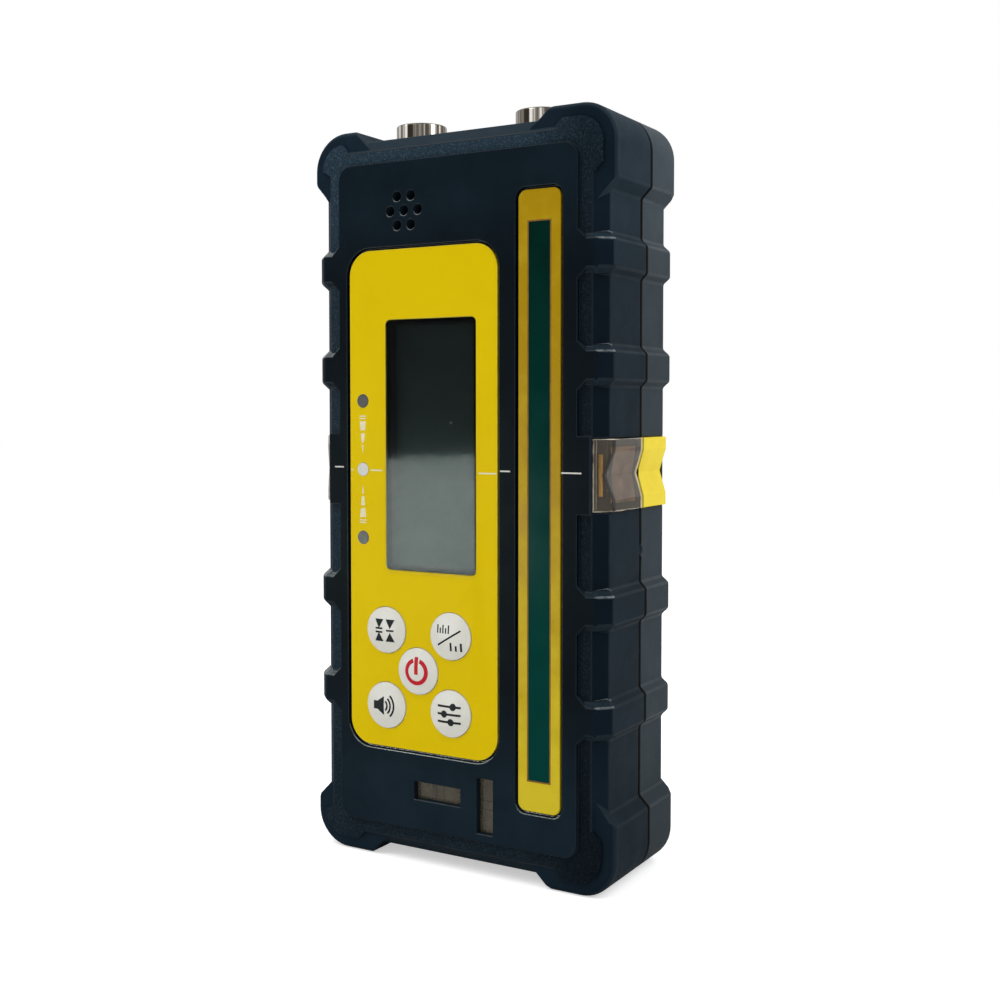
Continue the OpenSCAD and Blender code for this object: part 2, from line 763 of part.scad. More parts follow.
module lcd_panel() color("#2c352f") slab(inner_front + seat_gap, inner_front + seat_gap + lcd_t)
    translate([lcd_x, lcd_z]) square([lcd_w + 2 * lcd_margin, lcd_h + 2 * lcd_margin], center = true);

module lcd_frame() color("#e8e8e4") slab(inner_front + seat_gap + lcd_t, board_front)
    translate([lcd_x, lcd_z]) square([lcd_w + 2 * (lcd_margin - lcd_frame_in),
                                      lcd_h + 2 * (lcd_margin - lcd_frame_in)], center = true);

// One key: a domed cap, a flange behind the front wall and a stem that works the switch
module key(p) {
    dome_r = (key_r * key_r + key_proud * key_proud) / (2 * key_proud);
    intersection() {
        rod(p[0], p[1], -key_proud, flange_front + lap, key_r);
        translate([p[0], front_y + dome_r - key_proud, p[1]]) sphere(dome_r);
    }
    rod(p[0], p[1], flange_front, flange_front + flange_t, key_r + flange_w);
    rod(p[0], p[1], flange_front, switch_top + stem_len, stem_r);
}
module key_accuracy() color("#f2f0ea") key(key_at[0]);
module key_units() color("#f2f0ea") key(key_at[1]);
module key_power() color("#f2f0ea") key(key_at[2]);
module key_sound() color("#f2f0ea") key(key_at[3]);
module key_set() color("#f2f0ea") key(key_at[4]);

module key_switches() color("#33363a") for (p = key_at) difference() {
    block(p[0] - switch_w / 2, p[0] + switch_w / 2, switch_top, board_front,
          p[1] - switch_w / 2, p[1] + switch_w / 2);
    rod(p[0], p[1], switch_top - lap, switch_top + stem_len + key_travel + key_rest, stem_r + stem_gap);
}

module status_leds() color("#e6e6e0") for (z = led_z)
    rod(led_x, z, lens_back + seat_gap, board_front, led_r);

module led_lenses() color("#d8d8d2", 0.8) for (z = led_z) {
    rod(led_x, z, plate_sink, lens_back, led_r);
    rod(led_x, z, inner_front, inner_front + flange_t, led_r + lens_flange_w);
}

module sensor_frame() color("#d8be28") difference() {
    slab(plate_sink, recess_d) round_rect(frame_x, window_z, frame_w, frame_h, frame_r);
    slab(0, recess_d + lap) translate([frame_x, window_z]) square([window_w, window_len], center = true);
}

module sensor_window() color("#00402e") translate([frame_x, 0, window_z]) {
    slab(plate_sink, inner_front + lap)
        square([window_w - 2 * seat_gap, window_len - 2 * seat_gap], center = true);
    slab(inner_front, inner_front + filter_flange_t)
        square([window_w + 2 * filter_flange_w, window_len + 2 * filter_flange_w], center = true);
}

module sensor_board() color("#1f5a36") difference() {
    block(strip_left, strip_right, board_front, board_back, strip_bottom, strip_top);
    for (p = strip_stands) rod(p[0], p[1], board_front - lap, board_back + lap, tap_r + free_gap);
}

module photodiodes() color("#15171c") for (i = [0:diode_count - 1]) {
    z = window_z + (i - (diode_count - 1) / 2) * diode_pitch;
    block(frame_x - diode_w / 2, frame_x + diode_w / 2, board_front - diode_t, board_front,
          z - diode_len / 2, z + diode_len / 2);
}

module main_board() color("#1f5a36") difference() {
    block(main_left, main_right, board_front, board_back, main_bottom, main_top);
    for (p = main_stands) rod(p[0], p[1], board_front - lap, board_back + lap, tap_r + free_gap);
}

module board_ribbon() color("#d9d6c8")
    block(main_right - ribbon_lap, strip_left + ribbon_lap, board_back, board_back + ribbon_t,
          index_z - ribbon_half, index_z + ribbon_half);

module board_screws() color("#9a9da2") for (p = stands) {
    rod(p[0], p[1], board_front - tap_len, board_back + lap, tap_r);
    rod(p[0], p[1], board_back, board_back + small_head_h, small_head_r);
}

module speaker_membrane() color("#17191b")
    rod(speaker_x, speaker_z, inner_front, inner_front + membrane_t, membrane_r);

module buzzer() color("#1b1c1e")
    rod(speaker_x, speaker_z, inner_front + membrane_t + seat_gap, board_front, buzzer_r);

// Clear block of a level vial with a blind round chamber, lying along X
module vial() {
    difference() {
        union() {
            translate([-vial_len / 2, 0, -vial_depth / 2]) cube([vial_len, vial_depth, vial_depth]);
            translate([-level_len / 2 + seat_gap, vial_face - inner_front, -level_w / 2 + seat_gap])
                cube([level_len - 2 * seat_gap, inner_front - vial_face + lap, level_w - 2 * seat_gap]);
        }
        translate([-vial_len / 2 + vial_wall, vial_depth / 2, 0]) rotate([0, 90, 0])
            cylinder(h = vial_len, r = spirit_r);
    }
}
module vial_chamber(start, len, r) {
    translate([-vial_len / 2 + start, vial_depth / 2, 0]) rotate([0, 90, 0]) cylinder(h = len, r = r);
}
module at_lying() translate([level_x, front_y + inner_front, level_z]) children();
module at_standing() translate([upright_x, front_y + inner_front, upright_z]) rotate([0, -90, 0]) children();

module vial_lying() color("#b9b29a", 0.6) at_lying() vial();
module vial_standing() color("#b9b29a", 0.6) at_standing() vial();

module vial_spirit() color("#8c7f5a", 0.8) {
    len = vial_len - vial_wall - plug_len;
    at_lying() vial_chamber(vial_wall, len, spirit_r - seat_gap);
    at_standing() vial_chamber(vial_wall, len, spirit_r - seat_gap);
}

module vial_plugs() color("#d9d4c4") {
    at_lying() vial_chamber(vial_len - plug_len, plug_len, spirit_r - seat_gap);
    at_standing() vial_chamber(vial_len - plug_len, plug_len, spirit_r - seat_gap);
}

module battery_door() color("#23292f") difference() {
    union() {
        slab(body_d - door_t, body_d) translate([0, door_z]) square([2 * door_half, door_h], center = true);
        for (x = [-tab_x, tab_x]) {
            block(x - tab_w / 2, x + tab_w / 2, tab_front, body_d - lap,
                  door_bottom + tab_up, door_bottom + tab_up + tab_t);
            block(x - tab_w / 2, x + tab_w / 2, tab_front, tab_back,
                  door_bottom - tab_len + tab_short, door_bottom + tab_up + tab_t);
        }
        rod(0, door_screw_z, screw_boss_d, body_d - lap, screw_boss_r);
    }
    rod(0, door_screw_z, body_d - screw_head_h - seat_gap, body_d + lap, screw_head_r + stem_gap);
    rod(0, door_screw_z, screw_boss_d - lap, body_d, screw_r + stem_gap);
}

module door_seal() color("#101214") slab(body_d - door_t - seal_t, body_d - door_t) difference() {
    z0 = bay_bottom - bay_wall;
    z1 = bay_top + bay_wall;
    translate([0, (z0 + z1) / 2]) square([2 * (bay_half + bay_wall), z1 - z0], center = true);
    translate([0, (bay_bottom + bay_top) / 2])
        square([2 * (bay_half + seal_in), bay_len + 2 * seal_in], center = true);
}

module door_screw() color("#a4a7ab") difference() {
    union() {
        rod(0, door_screw_z, body_d - screw_head_h, body_d, screw_head_r);
        rod(0, door_screw_z, screw_tip, body_d - lap, screw_r);
    }
    translate([0, front_y + body_d, door_screw_z])
        cube([2 * (screw_head_r + lap), 2 * screw_slot_d, screw_slot_w], center = true);
}

module door_nut() color("#b8923c") difference() {
    rod(0, door_screw_z, nut_front, nut_front + nut_len, nut_r);
    rod(0, door_screw_z, nut_front - lap, nut_front + nut_len + lap, nut_bore);
}

// One cell, standing, with its nub up
module cell() {
    cylinder(h = cell_len - nub_len, r = cell_r);
    cylinder(h = cell_len, r = nub_r);
}
module battery_left() color("#3a3d41")
    translate([-cell_pitch / 2, front_y + cell_d, bay_bottom + contact_t + contact_bump]) cell();
module battery_right() color("#3a3d41")
    translate([cell_pitch / 2, front_y + cell_d, bay_top - contact_t - contact_bump])
        rotate([180, 0, 0]) cell();

module battery_contacts() color("#c8c4b8") for (x = [-cell_pitch / 2, cell_pitch / 2]) {
    block(x - contact_w / 2, x + contact_w / 2, cell_d - contact_w / 2, cell_d + contact_w / 2,
          bay_top - contact_t, bay_top);
    block(x - supply_r, x + supply_r, cell_d - contact_w / 2, cell_d - contact_w / 2 + contact_t,
          supply_z - supply_r, bay_top);
    translate([x, front_y + cell_d, bay_top - contact_t - contact_bump])
        cylinder(h = contact_bump + contact_t / 2, r = contact_r);
    block(x - contact_w / 2, x + contact_w / 2, cell_d - contact_w / 2, cell_d + contact_w / 2,
          bay_bottom, bay_bottom + contact_t);
    translate([x, front_y + cell_d, bay_bottom + contact_t / 2])
        cylinder(h = contact_bump + contact_t / 2, r = contact_r);
}

module battery_posts() color("#b8923c") for (x = [-cell_pitch / 2, cell_pitch / 2])
    rod(x, supply_z, board_back, cell_d - contact_w / 2, supply_r);

module clamp_insert() color("#c09a45") difference() {
    rod(0, clamp_z, clamp_front, body_d - pad_d, clamp_out_r);
    rod(0, clamp_z, clamp_front - lap, body_d, clamp_r);
}

front_housing();
rear_housing();
case_gasket();
case_screws();
side_lens_left();
side_lens_right();
side_index_left();
side_index_right();
magnet_left();
magnet_right();
keypad_overlay();
lcd_window();
lcd_panel();
lcd_frame();
key_accuracy();
key_units();
key_power();
key_sound();
key_set();
key_switches();
status_leds();
led_lenses();
sensor_frame();
sensor_window();
sensor_board();
photodiodes();
main_board();
board_ribbon();
board_screws();
speaker_membrane();
buzzer();
vial_lying();
vial_standing();
vial_spirit();
vial_plugs();
battery_door();
door_seal();
door_screw();
door_nut();
battery_left();
battery_right();
battery_contacts();
battery_posts();
clamp_insert();
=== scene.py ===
import math

import bmesh
import bpy
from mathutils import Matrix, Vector


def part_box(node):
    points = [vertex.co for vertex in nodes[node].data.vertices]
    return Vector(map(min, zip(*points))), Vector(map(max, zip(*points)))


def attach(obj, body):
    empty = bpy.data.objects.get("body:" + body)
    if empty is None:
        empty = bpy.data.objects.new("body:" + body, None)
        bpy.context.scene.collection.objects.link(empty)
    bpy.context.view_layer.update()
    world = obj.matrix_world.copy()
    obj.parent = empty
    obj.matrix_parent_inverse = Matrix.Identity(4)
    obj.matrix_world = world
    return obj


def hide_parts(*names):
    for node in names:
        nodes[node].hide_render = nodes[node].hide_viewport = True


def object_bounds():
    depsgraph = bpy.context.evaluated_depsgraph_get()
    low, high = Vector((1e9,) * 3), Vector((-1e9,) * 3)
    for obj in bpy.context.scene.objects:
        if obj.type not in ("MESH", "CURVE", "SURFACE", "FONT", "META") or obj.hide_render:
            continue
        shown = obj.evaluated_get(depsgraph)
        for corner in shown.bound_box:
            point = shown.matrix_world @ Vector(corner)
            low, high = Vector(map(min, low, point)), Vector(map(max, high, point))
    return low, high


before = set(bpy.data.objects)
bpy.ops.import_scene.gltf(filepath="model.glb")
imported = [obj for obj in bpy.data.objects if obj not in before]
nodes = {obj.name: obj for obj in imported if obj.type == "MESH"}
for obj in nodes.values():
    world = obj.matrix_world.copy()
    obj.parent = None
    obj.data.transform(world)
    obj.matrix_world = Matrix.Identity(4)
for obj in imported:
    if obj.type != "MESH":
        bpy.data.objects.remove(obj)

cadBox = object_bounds()
scene = bpy.context.scene
mm = 0.001
hair = 0.01
hands = ("left", "right")


def middleOf(nodeName):
    low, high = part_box(nodeName)
    return (low + high) / 2


# places that the frame gives
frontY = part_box("front_housing")[0].y
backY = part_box("battery_door")[1].y
caseLow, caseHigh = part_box("rear_housing")
seamY = sum(corner.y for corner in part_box("case_gasket")) / 2
lensLow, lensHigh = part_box("side_lens_right")
indexZ = (lensLow.z + lensHigh.z) / 2

# shader helpers
noiseRange = (0.3, 0.7)


def rgb(*values):
    return (*values, 1.0)


def setAll(thing, settings):
    for key, value in settings.items():
        setattr(thing, key, value)


def place(tree, kind, sockets=None, **settings):
    made = tree.nodes.new(kind)
    setAll(made, settings)
    for key, value in (sockets or {}).items():
        if isinstance(value, bpy.types.NodeSocket):
            tree.links.new(value, made.inputs[key])
        else:
            made.inputs[key].default_value = value
    return made


# mixes two colours, each a link or three numbers
def mixColour(tree, factor, first, second, **settings):
    first, second = [rgb(*value) if isinstance(value, tuple) else value for value in (first, second)]
    return place(tree, "ShaderNodeMix", {0: factor, 6: first, 7: second}, data_type="RGBA", **settings).outputs[2]


def mapValue(tree, value, low, high, toLow=0.0, toHigh=1.0):
    return place(tree, "ShaderNodeMapRange", {0: value, 1: low, 2: high, 3: toLow, 4: toHigh}).outputs[0]


# spreads the usual range of a noise over two values
def spread(tree, noise, low, high):
    return mapValue(tree, noise, *noiseRange, low, high)


def combine(tree, operation, first, second=0.0):
    return place(tree, "ShaderNodeMath", {0: first, 1: second}, operation=operation).outputs[0]


def objectPoint(tree):
    return place(tree, "ShaderNodeTexCoord").outputs["Object"]


def partOf(tree, axis):
    return place(tree, "ShaderNodeSeparateXYZ", {0: objectPoint(tree)}).outputs[axis]


def noiseOf(tree, scale, detail, point=None, **more):
    sockets = {"Vector": point or objectPoint(tree), "Scale": scale, "Detail": detail, **more}
    return place(tree, "ShaderNodeTexNoise", sockets).outputs[0]


def useGroup(tree, group, sockets=None):
    return place(tree, "ShaderNodeGroup", sockets, node_tree=group).outputs


def feed(tree, shader, colour, rough):
    tree.links.new(colour, shader.inputs["Base Color"])
    tree.links.new(rough, shader.inputs["Roughness"])


# depth in millimetres
def addBump(tree, shader, height, strength, depth):
    bump = place(tree, "ShaderNodeBump", {"Height": height, "Strength": strength, "Distance": depth * mm})
    tree.links.new(bump.outputs[0], shader.inputs["Normal"])


def newGroup(name, inputs, outputs):
    group = bpy.data.node_groups.new(name, "ShaderNodeTree")
    for label, value in inputs.items():
        socket = group.interface.new_socket(name=label, in_out="INPUT", socket_type="NodeSocketFloat")
        socket.default_value = value
    for label in outputs:
        group.interface.new_socket(name=label, in_out="OUTPUT", socket_type="NodeSocketFloat")
    return group, place(group, "NodeGroupInput").outputs, place(group, "NodeGroupOutput").inputs


def makeGrain():
    group, given, put = newGroup("mouldGrain", {"Grain Scale": 2500.0, "Tone Scale": 90.0}, ["Tone", "Height"])
    fine = noiseOf(group, given["Grain Scale"], 3.0)
    pits = place(group, "ShaderNodeTexVoronoi", {"Vector": objectPoint(group), "Scale": given["Grain Scale"]})
    tone = noiseOf(group, given["Tone Scale"], 5.0, Roughness=0.62)
    group.links.new(spread(group, tone, 0.0, 1.0), put["Tone"])
    pitShare = combine(group, "MULTIPLY", pits.outputs["Distance"], 0.5)
    group.links.new(combine(group, "ADD", fine, pitShare), put["Height"])
    return group


def makeDust():
    look = {"core": 0.06, "rim": 0.12}
    group, given, put = newGroup("dustSpecks", {"Speck Scale": 260.0, "Speck Share": 0.03}, ["Speck"])
    cells = place(group, "ShaderNodeTexVoronoi", {"Vector": objectPoint(group), "Scale": given["Speck Scale"]})
    near = mapValue(group, cells.outputs["Distance"], look["core"], look["rim"], 1.0, 0.0)
    draw = place(group, "ShaderNodeSeparateColor", {0: cells.outputs["Color"]}).outputs[0]
    chosen = combine(group, "LESS_THAN", draw, given["Speck Share"])
    group.links.new(combine(group, "MULTIPLY", near, chosen), put["Speck"])
    return group


def makeRub():
    look = {"low": 0.32, "high": 0.68}
    group, given, put = newGroup("handRub", {"Rub Scale": 45.0}, ["Rub"])
    smear = noiseOf(group, given["Rub Scale"], 6.0, Roughness=0.7, Distortion=0.6)
    group.links.new(mapValue(group, smear, look["low"], look["high"]), put["Rub"])
    return group


grainGroup = makeGrain()
dustGroup = makeDust()
rubGroup = makeRub()


def rubbed(tree, low, high):
    return mapValue(tree, useGroup(tree, rubGroup)["Rub"], 0.0, 1.0, low, high)


def newFinish(name, sockets):
    finish = bpy.data.materials.new(name)
    finish.use_nodes = True
    shader = finish.node_tree.nodes["Principled BSDF"]
    for key, value in sockets.items():
        shader.inputs[key].default_value = value
    return finish, finish.node_tree, shader


# where the painted shade of the face changes, in metres: towards its foot, its top and its right side
paintedShadeSteps = {"foot": (0.046, 0.022), "top": (0.138, 0.158), "right": (0.018, 0.034)}


# painted shade: multiplies a colour by the shares given for the foot, the middle and the top of the face and for
# its right side, so that parts look lit more or less
def shadeByPlace(tree, colour, foot, middle, top, right):
    height = partOf(tree, "Z")
    lower = mapValue(tree, height, *paintedShadeSteps["foot"], middle, foot)
    upper = mapValue(tree, height, *paintedShadeSteps["top"], 0.0, top - middle)
    across = mapValue(tree, partOf(tree, "X"), *paintedShadeSteps["right"], 1.0, right)
    share = combine(tree, "MULTIPLY", combine(tree, "ADD", lower, upper), across)
    return mixColour(tree, 1.0, colour, share, blend_type="MULTIPLY")


# moulded plastics, rubber and print: two tones, a grain, a hand-rubbed gloss and a little dust; where asked, also
# a painted sparkle on the grain's peaks and painted shade by place
def mouldedFinish(name, dark, light, grain=2500, tone=90, rough=(0.5, 0.62), bump=0.25, depth=0.05,
                  specular=0.3, dust=0.02, speckAndSparkleTone=(0.45, 0.45, 0.43), sparkle=0.0, shares=None):
    peakRange = (0.75, 1.0)
    finish, tree, shader = newFinish(name, {"Specular IOR Level": specular})
    grains = useGroup(tree, grainGroup, {"Grain Scale": grain, "Tone Scale": tone})
    base = mixColour(tree, grains["Tone"], dark, light)
    if sparkle:
        # painted sparkle: pale specks of the speck tone on the grain's peaks, standing for light caught by the
        # grain
        peak = mapValue(tree, grains["Height"], *peakRange, 0.0, sparkle)
        base = mixColour(tree, peak, base, speckAndSparkleTone)
    if shares:
        base = shadeByPlace(tree, base, *shares)
    base = mixColour(tree, useGroup(tree, dustGroup, {"Speck Share": dust})["Speck"], base, speckAndSparkleTone)
    feed(tree, shader, base, rubbed(tree, *rough))
    addBump(tree, shader, grains["Height"], bump, depth)
    return finish


# painted shade by place for the case's sides and back: shares for the foot, the middle, the top and the right side
sidePaintedShade = (0.9, 0.97, 1.35, 1.0)
rearPaintedShade = (0.84, 0.98, 1.35, 1.0)
ink = dict(specular=0.1, dust=0.0)
matte = dict(grain=2700, rough=(0.55, 0.72), bump=0.4, depth=0.06, specular=0.04)
speckled = dict(grain=3200, tone=1900, bump=0.3, depth=0.03, dust=0.0)
film = dict(grain=3600, bump=0.1, depth=0.02, dust=0.0)

# name, dark tone, light tone and what differs from a plain moulding
mouldings = {
    # the panel carries painted shade by place: lighter at its foot and top, darker in the middle
    "panel": ("smoothPanel", (0.0024, 0.006, 0.0094), (0.004, 0.0088, 0.0136), dict(
        grain=5200, rough=(0.36, 0.5), bump=0.12, depth=0.02, specular=0.02, dust=0.035,
        shares=(1.85, 0.58, 1.35, 1.0))),
    # rounded edges on the face: a faint painted highlight, a little lighter than the panel
    "panelEdge": ("panelEdge", (0.002, 0.006, 0.01), (0.005, 0.01, 0.015), dict(
        grain=3200, tone=420, rough=(0.3, 0.46), bump=0.2, depth=0.03, specular=0.1)),
    # painted highlights on lower rims: a dim one for the level windows and a bright one for the other recesses
    "paintedDimGlint": ("paintedDimRimGlint", (0.003, 0.007, 0.011), (0.045, 0.052, 0.056), dict(
        rough=(0.3, 0.5), specular=0.12, **speckled)),
    "paintedGlint": ("paintedRimGlint", (0.004, 0.01, 0.014), (0.2, 0.22, 0.23), dict(
        rough=(0.2, 0.4), specular=0.35, **speckled)),
    # painted highlight for the ribs' upward shoulders, broken into bright patches
    "ribGlint": ("paintedRibGlint", (0.008, 0.015, 0.021), (0.13, 0.15, 0.155), dict(
        grain=3200, tone=900, rough=(0.25, 0.45), bump=0.5, specular=0.2, dust=0.0)),
    # the band carries painted shade by place, darkest at its right side and lightest at the top, and a painted
    # sparkle on its grain
    "band": ("grainyBand", (0.0056, 0.013, 0.0205), (0.013, 0.024, 0.035), dict(
        grain=2600, tone=1500, rough=(0.4, 0.58), bump=0.75, depth=0.1, specular=0.015, sparkle=0.05,
        speckAndSparkleTone=(0.3, 0.41, 0.5), shares=(0.74, 1.15, 1.65, 0.38))),
    "side": ("matteCaseSide", (0.0066, 0.0132, 0.0192), (0.0094, 0.0182, 0.026), dict(shares=sidePaintedShade, **matte)),
    "rear": ("matteCaseRear", (0.028, 0.038, 0.046), (0.037, 0.048, 0.056), dict(shares=rearPaintedShade, **matte)),
    # painted shade: a darker copy of the side plastic for faces that look to the front, with its own shade by
    # place
    "frontRim": ("shadedFrontRim", (0.004, 0.01, 0.0172), (0.0062, 0.0134, 0.0218), dict(
        grain=2700, rough=(0.5, 0.66), bump=0.3, specular=0.02, shares=(1.35, 0.9, 1.3, 0.68))),
    # rounded case edges: a little lighter than the plastic beside them, partly wear and partly painted highlight,
    # with the same painted shade by place
    "edge": ("rubbedCaseEdgeAndHighlight", (0.0072, 0.0142, 0.0205), (0.0125, 0.021, 0.0288), dict(
        grain=2700, tone=160, rough=(0.45, 0.62), bump=0.3, specular=0.05, shares=sidePaintedShade)),
    "rearEdge": ("rubbedRearEdgeAndHighlight", (0.03, 0.041, 0.049), (0.041, 0.052, 0.06), dict(
        grain=2700, tone=160, rough=(0.4, 0.6), bump=0.2, specular=0.06, shares=rearPaintedShade)),
    "bead": ("clearGlueBead", (0.01, 0.014, 0.016), (0.05, 0.055, 0.055), dict(
        grain=1500, tone=900, rough=(0.06, 0.3), bump=0.9, depth=0.2, specular=0.9, dust=0.0)),
    # black of the seals, also painted on the shells' edges beside the seam as painted shade
    "rubberAndSeamShade": ("blackSealAndSeamShade", (0.002, 0.002, 0.0022), (0.006, 0.006, 0.0065), dict(rough=(0.6, 0.8), specular=0.12)),
    "overlay": ("yellowOverlay", (0.652, 0.468, 0.0005), (0.694, 0.507, 0.0005), dict(
        tone=28, rough=(0.4, 0.52), specular=0.02, **film)),
    "overlayLip": ("overlayCutEdge", (0.58, 0.42, 0.004), (0.78, 0.62, 0.06), dict(
        tone=300, rough=(0.3, 0.45), specular=0.1, **film)),
    "indexYellow": ("yellowIndexBlock", (0.72, 0.56, 0.036), (0.8, 0.64, 0.05), dict(
        grain=2200, tone=120, bump=0.3, specular=0.1, dust=0.01)),
    "key": ("whiteKey", (0.62, 0.615, 0.56), (0.675, 0.67, 0.615), dict(
        grain=3000, tone=240, rough=(0.34, 0.48), bump=0.08, depth=0.02, specular=0.2, dust=0.0)),
    "inkBlack": ("blackKeyPrint", (0.004, 0.006, 0.008), (0.009, 0.011, 0.013), ink),
    "inkRed": ("redKeyPrint", (0.44, 0.004, 0.014), (0.52, 0.007, 0.02), ink),
    "inkWhite": ("whitePrint", (0.5, 0.5, 0.46), (0.64, 0.63, 0.58), dict(tone=400, **ink)),
    "inkCream": ("creamPrint", (0.66, 0.6, 0.36), (0.76, 0.71, 0.5), dict(tone=500, **ink)),
    "inkBrown": ("brownFilterLine", (0.16, 0.075, 0.012), (0.26, 0.13, 0.02), dict(tone=300, **ink)),
    "vialInk": ("vialLine", (0.012, 0.011, 0.008), (0.03, 0.027, 0.02), dict(tone=900, **ink)),
    "blackPart": ("blackComponent", (0.006, 0.006, 0.007), (0.014, 0.014, 0.015), dict(specular=0.2)),
    "frameWhite": ("whiteLampFrame", (0.66, 0.66, 0.63), (0.76, 0.76, 0.73), {}),
    "ribbon": ("flatRibbon", (0.58, 0.55, 0.45), (0.68, 0.65, 0.55), {}),
    "plug": ("vialPlug", (0.6, 0.56, 0.46), (0.7, 0.66, 0.56), {}),
    "taupe": ("blockBacking", (0.075, 0.046, 0.028), (0.215, 0.14, 0.092), dict(tone=260, dust=0.0)),
    # painted view of the yellow block through the clear block's back: a cream strip
    "clearLand": ("paintedSeenThroughStrip", (0.36, 0.3, 0.15), (0.58, 0.5, 0.29), dict(
        tone=500, specular=0.05, dust=0.0)),
    "amber": ("blockAmber", (0.42, 0.19, 0.02), (0.86, 0.52, 0.08), dict(tone=300, dust=0.0)),
}
finishes = {key: mouldedFinish(*tones, **look) for key, (*tones, look) in mouldings.items()}
print("moulded finishes made:", len(finishes))


# metals: a warm or cold base with fine turning marks along one axis
def metalFinish(name, dark, light, rough, stretch, scale=1800.0):
    look = {"rub": 160.0, "detail": 4.0, "bump": (0.12, 0.02)}
    finish, tree, shader = newFinish(name, {"Metallic": 1.0})
    turned = place(tree, "ShaderNodeMapping", {"Vector": objectPoint(tree), "Scale": stretch}).outputs[0]
    marks = noiseOf(tree, scale, look["detail"], turned)
    worn = useGroup(tree, rubGroup, {"Rub Scale": look["rub"]})["Rub"]
    feed(tree, shader, mixColour(tree, worn, dark, light), spread(tree, marks, *rough))
    addBump(tree, shader, marks, *look["bump"])
    return finish


# name, dark tone, light tone, roughness, stretch of the marks and their scale
metals = {
    "steel": ("zincSteel", (0.4, 0.41, 0.42), (0.6, 0.61, 0.62), (0.3, 0.5), (1.0, 0.2, 1.0)),
    "brass": ("turnedBrass", (0.52, 0.34, 0.1), (0.72, 0.52, 0.2), (0.22, 0.4), (1.0, 0.15, 1.0)),
    "contact": ("platedContact", (0.55, 0.52, 0.46), (0.74, 0.71, 0.64), (0.2, 0.4), (0.2, 1.0, 1.0)),
    # a dark painted reflection for the magnets' rounded rims
    "nickelRimDarkReflection": ("nickelRimDarkReflection", (0.02, 0.017, 0.014), (0.12, 0.11, 0.1), (0.2, 0.36), (1.0, 1.0, 0.2), 900.0),
    "nickelFace": ("nickelFace", (0.44, 0.42, 0.38), (0.6, 0.58, 0.54), (0.18, 0.34), (1.0, 1.0, 0.2), 900.0),
}
finishes.update({key: metalFinish(*look) for key, look in metals.items()})


# magnet plating with a painted reflection: upright bands of dark and bright painted into the colour, standing for
# a room mirrored in polished nickel
def nickelReflectionFinish():
    look = {"dark": (0.03, 0.024, 0.019), "mid": (0.2, 0.18, 0.15), "bright": (0.86, 0.83, 0.78),
            "toMid": (0.43, 0.53), "toBright": (0.54, 0.64), "rough": (0.12, 0.3), "bump": (0.15, 0.03),
            "bands": {"Scale": 3.4, "Detail": 3.0, "Roughness": 0.6}, "fine": {"Scale": 30.0, "Detail": 2.0}}
    finish, tree, shader = newFinish("nickelMagnetPaintedReflection", {"Metallic": 1.0})
    axis = middleOf("magnet_right")
    aside = combine(tree, "SUBTRACT", combine(tree, "ABSOLUTE", partOf(tree, "X")), axis.x)
    turn = combine(tree, "ARCTAN2", aside, combine(tree, "SUBTRACT", axis.y, partOf(tree, "Y")))
    bands, fine = [place(tree, "ShaderNodeTexNoise", {"W": turn, **look[key]}, noise_dimensions="1D").outputs[0]
                   for key in ("bands", "fine")]
    lower = mixColour(tree, mapValue(tree, bands, *look["toMid"]), look["dark"], look["mid"])
    base = mixColour(tree, mapValue(tree, bands, *look["toBright"]), lower, look["bright"])
    feed(tree, shader, base, spread(tree, fine, *look["rough"]))
    addBump(tree, shader, fine, *look["bump"])
    return finish


# clear plastics and glass, with a faint haze that varies
def clearFinish(name, tint, deep, rough, index=1.49, specular=0.5, haze=220, through=1.0):
    hazeRange = (0.35, 0.65)
    finish, tree, shader = newFinish(name, {"Transmission Weight": through, "IOR": index,
                                            "Specular IOR Level": specular})
    cloud = noiseOf(tree, haze, 4.0)
    base = mixColour(tree, mapValue(tree, cloud, *hazeRange), deep, tint)
    feed(tree, shader, base, spread(tree, cloud, *rough))
    return finish


# name, tint, deep tint, roughness and what differs from plain clear plastic
clears = {
    "clearBlock": ("smokyClearBlock", (0.72, 0.6, 0.44), (0.58, 0.47, 0.34), (0.03, 0.1), dict(
        index=1.33, specular=0.4, through=0.93)),
    # painted highlight and shade for the clear blocks' rims: pale mottled with dark
    "clearRim": ("clearBlockRimPaintedLight", (0.72, 0.67, 0.54), (0.1, 0.09, 0.07), (0.08, 0.25), dict(
        haze=260, through=0.3)),
    # painted shade for the dark lines in the clear blocks
    "clearShade": ("clearBlockShade", (0.05, 0.045, 0.04), (0.02, 0.018, 0.016), (0.05, 0.12), dict(through=0.5)),
    "window": ("displayGlass", (0.34, 0.38, 0.37), (0.31, 0.36, 0.35), (0.07, 0.08), dict(index=1.12, haze=60)),
    "vial": ("vialAcrylic", (0.15, 0.126, 0.08), (0.098, 0.086, 0.06), (0.12, 0.25), dict(
        specular=0.12, through=0.45)),
    "spirit": ("vialSpirit", (0.8, 0.72, 0.52), (0.74, 0.66, 0.46), (0.02, 0.05), dict(index=1.36)),
}
finishes.update({key: clearFinish(*tones, **look) for key, (*tones, look) in clears.items()})


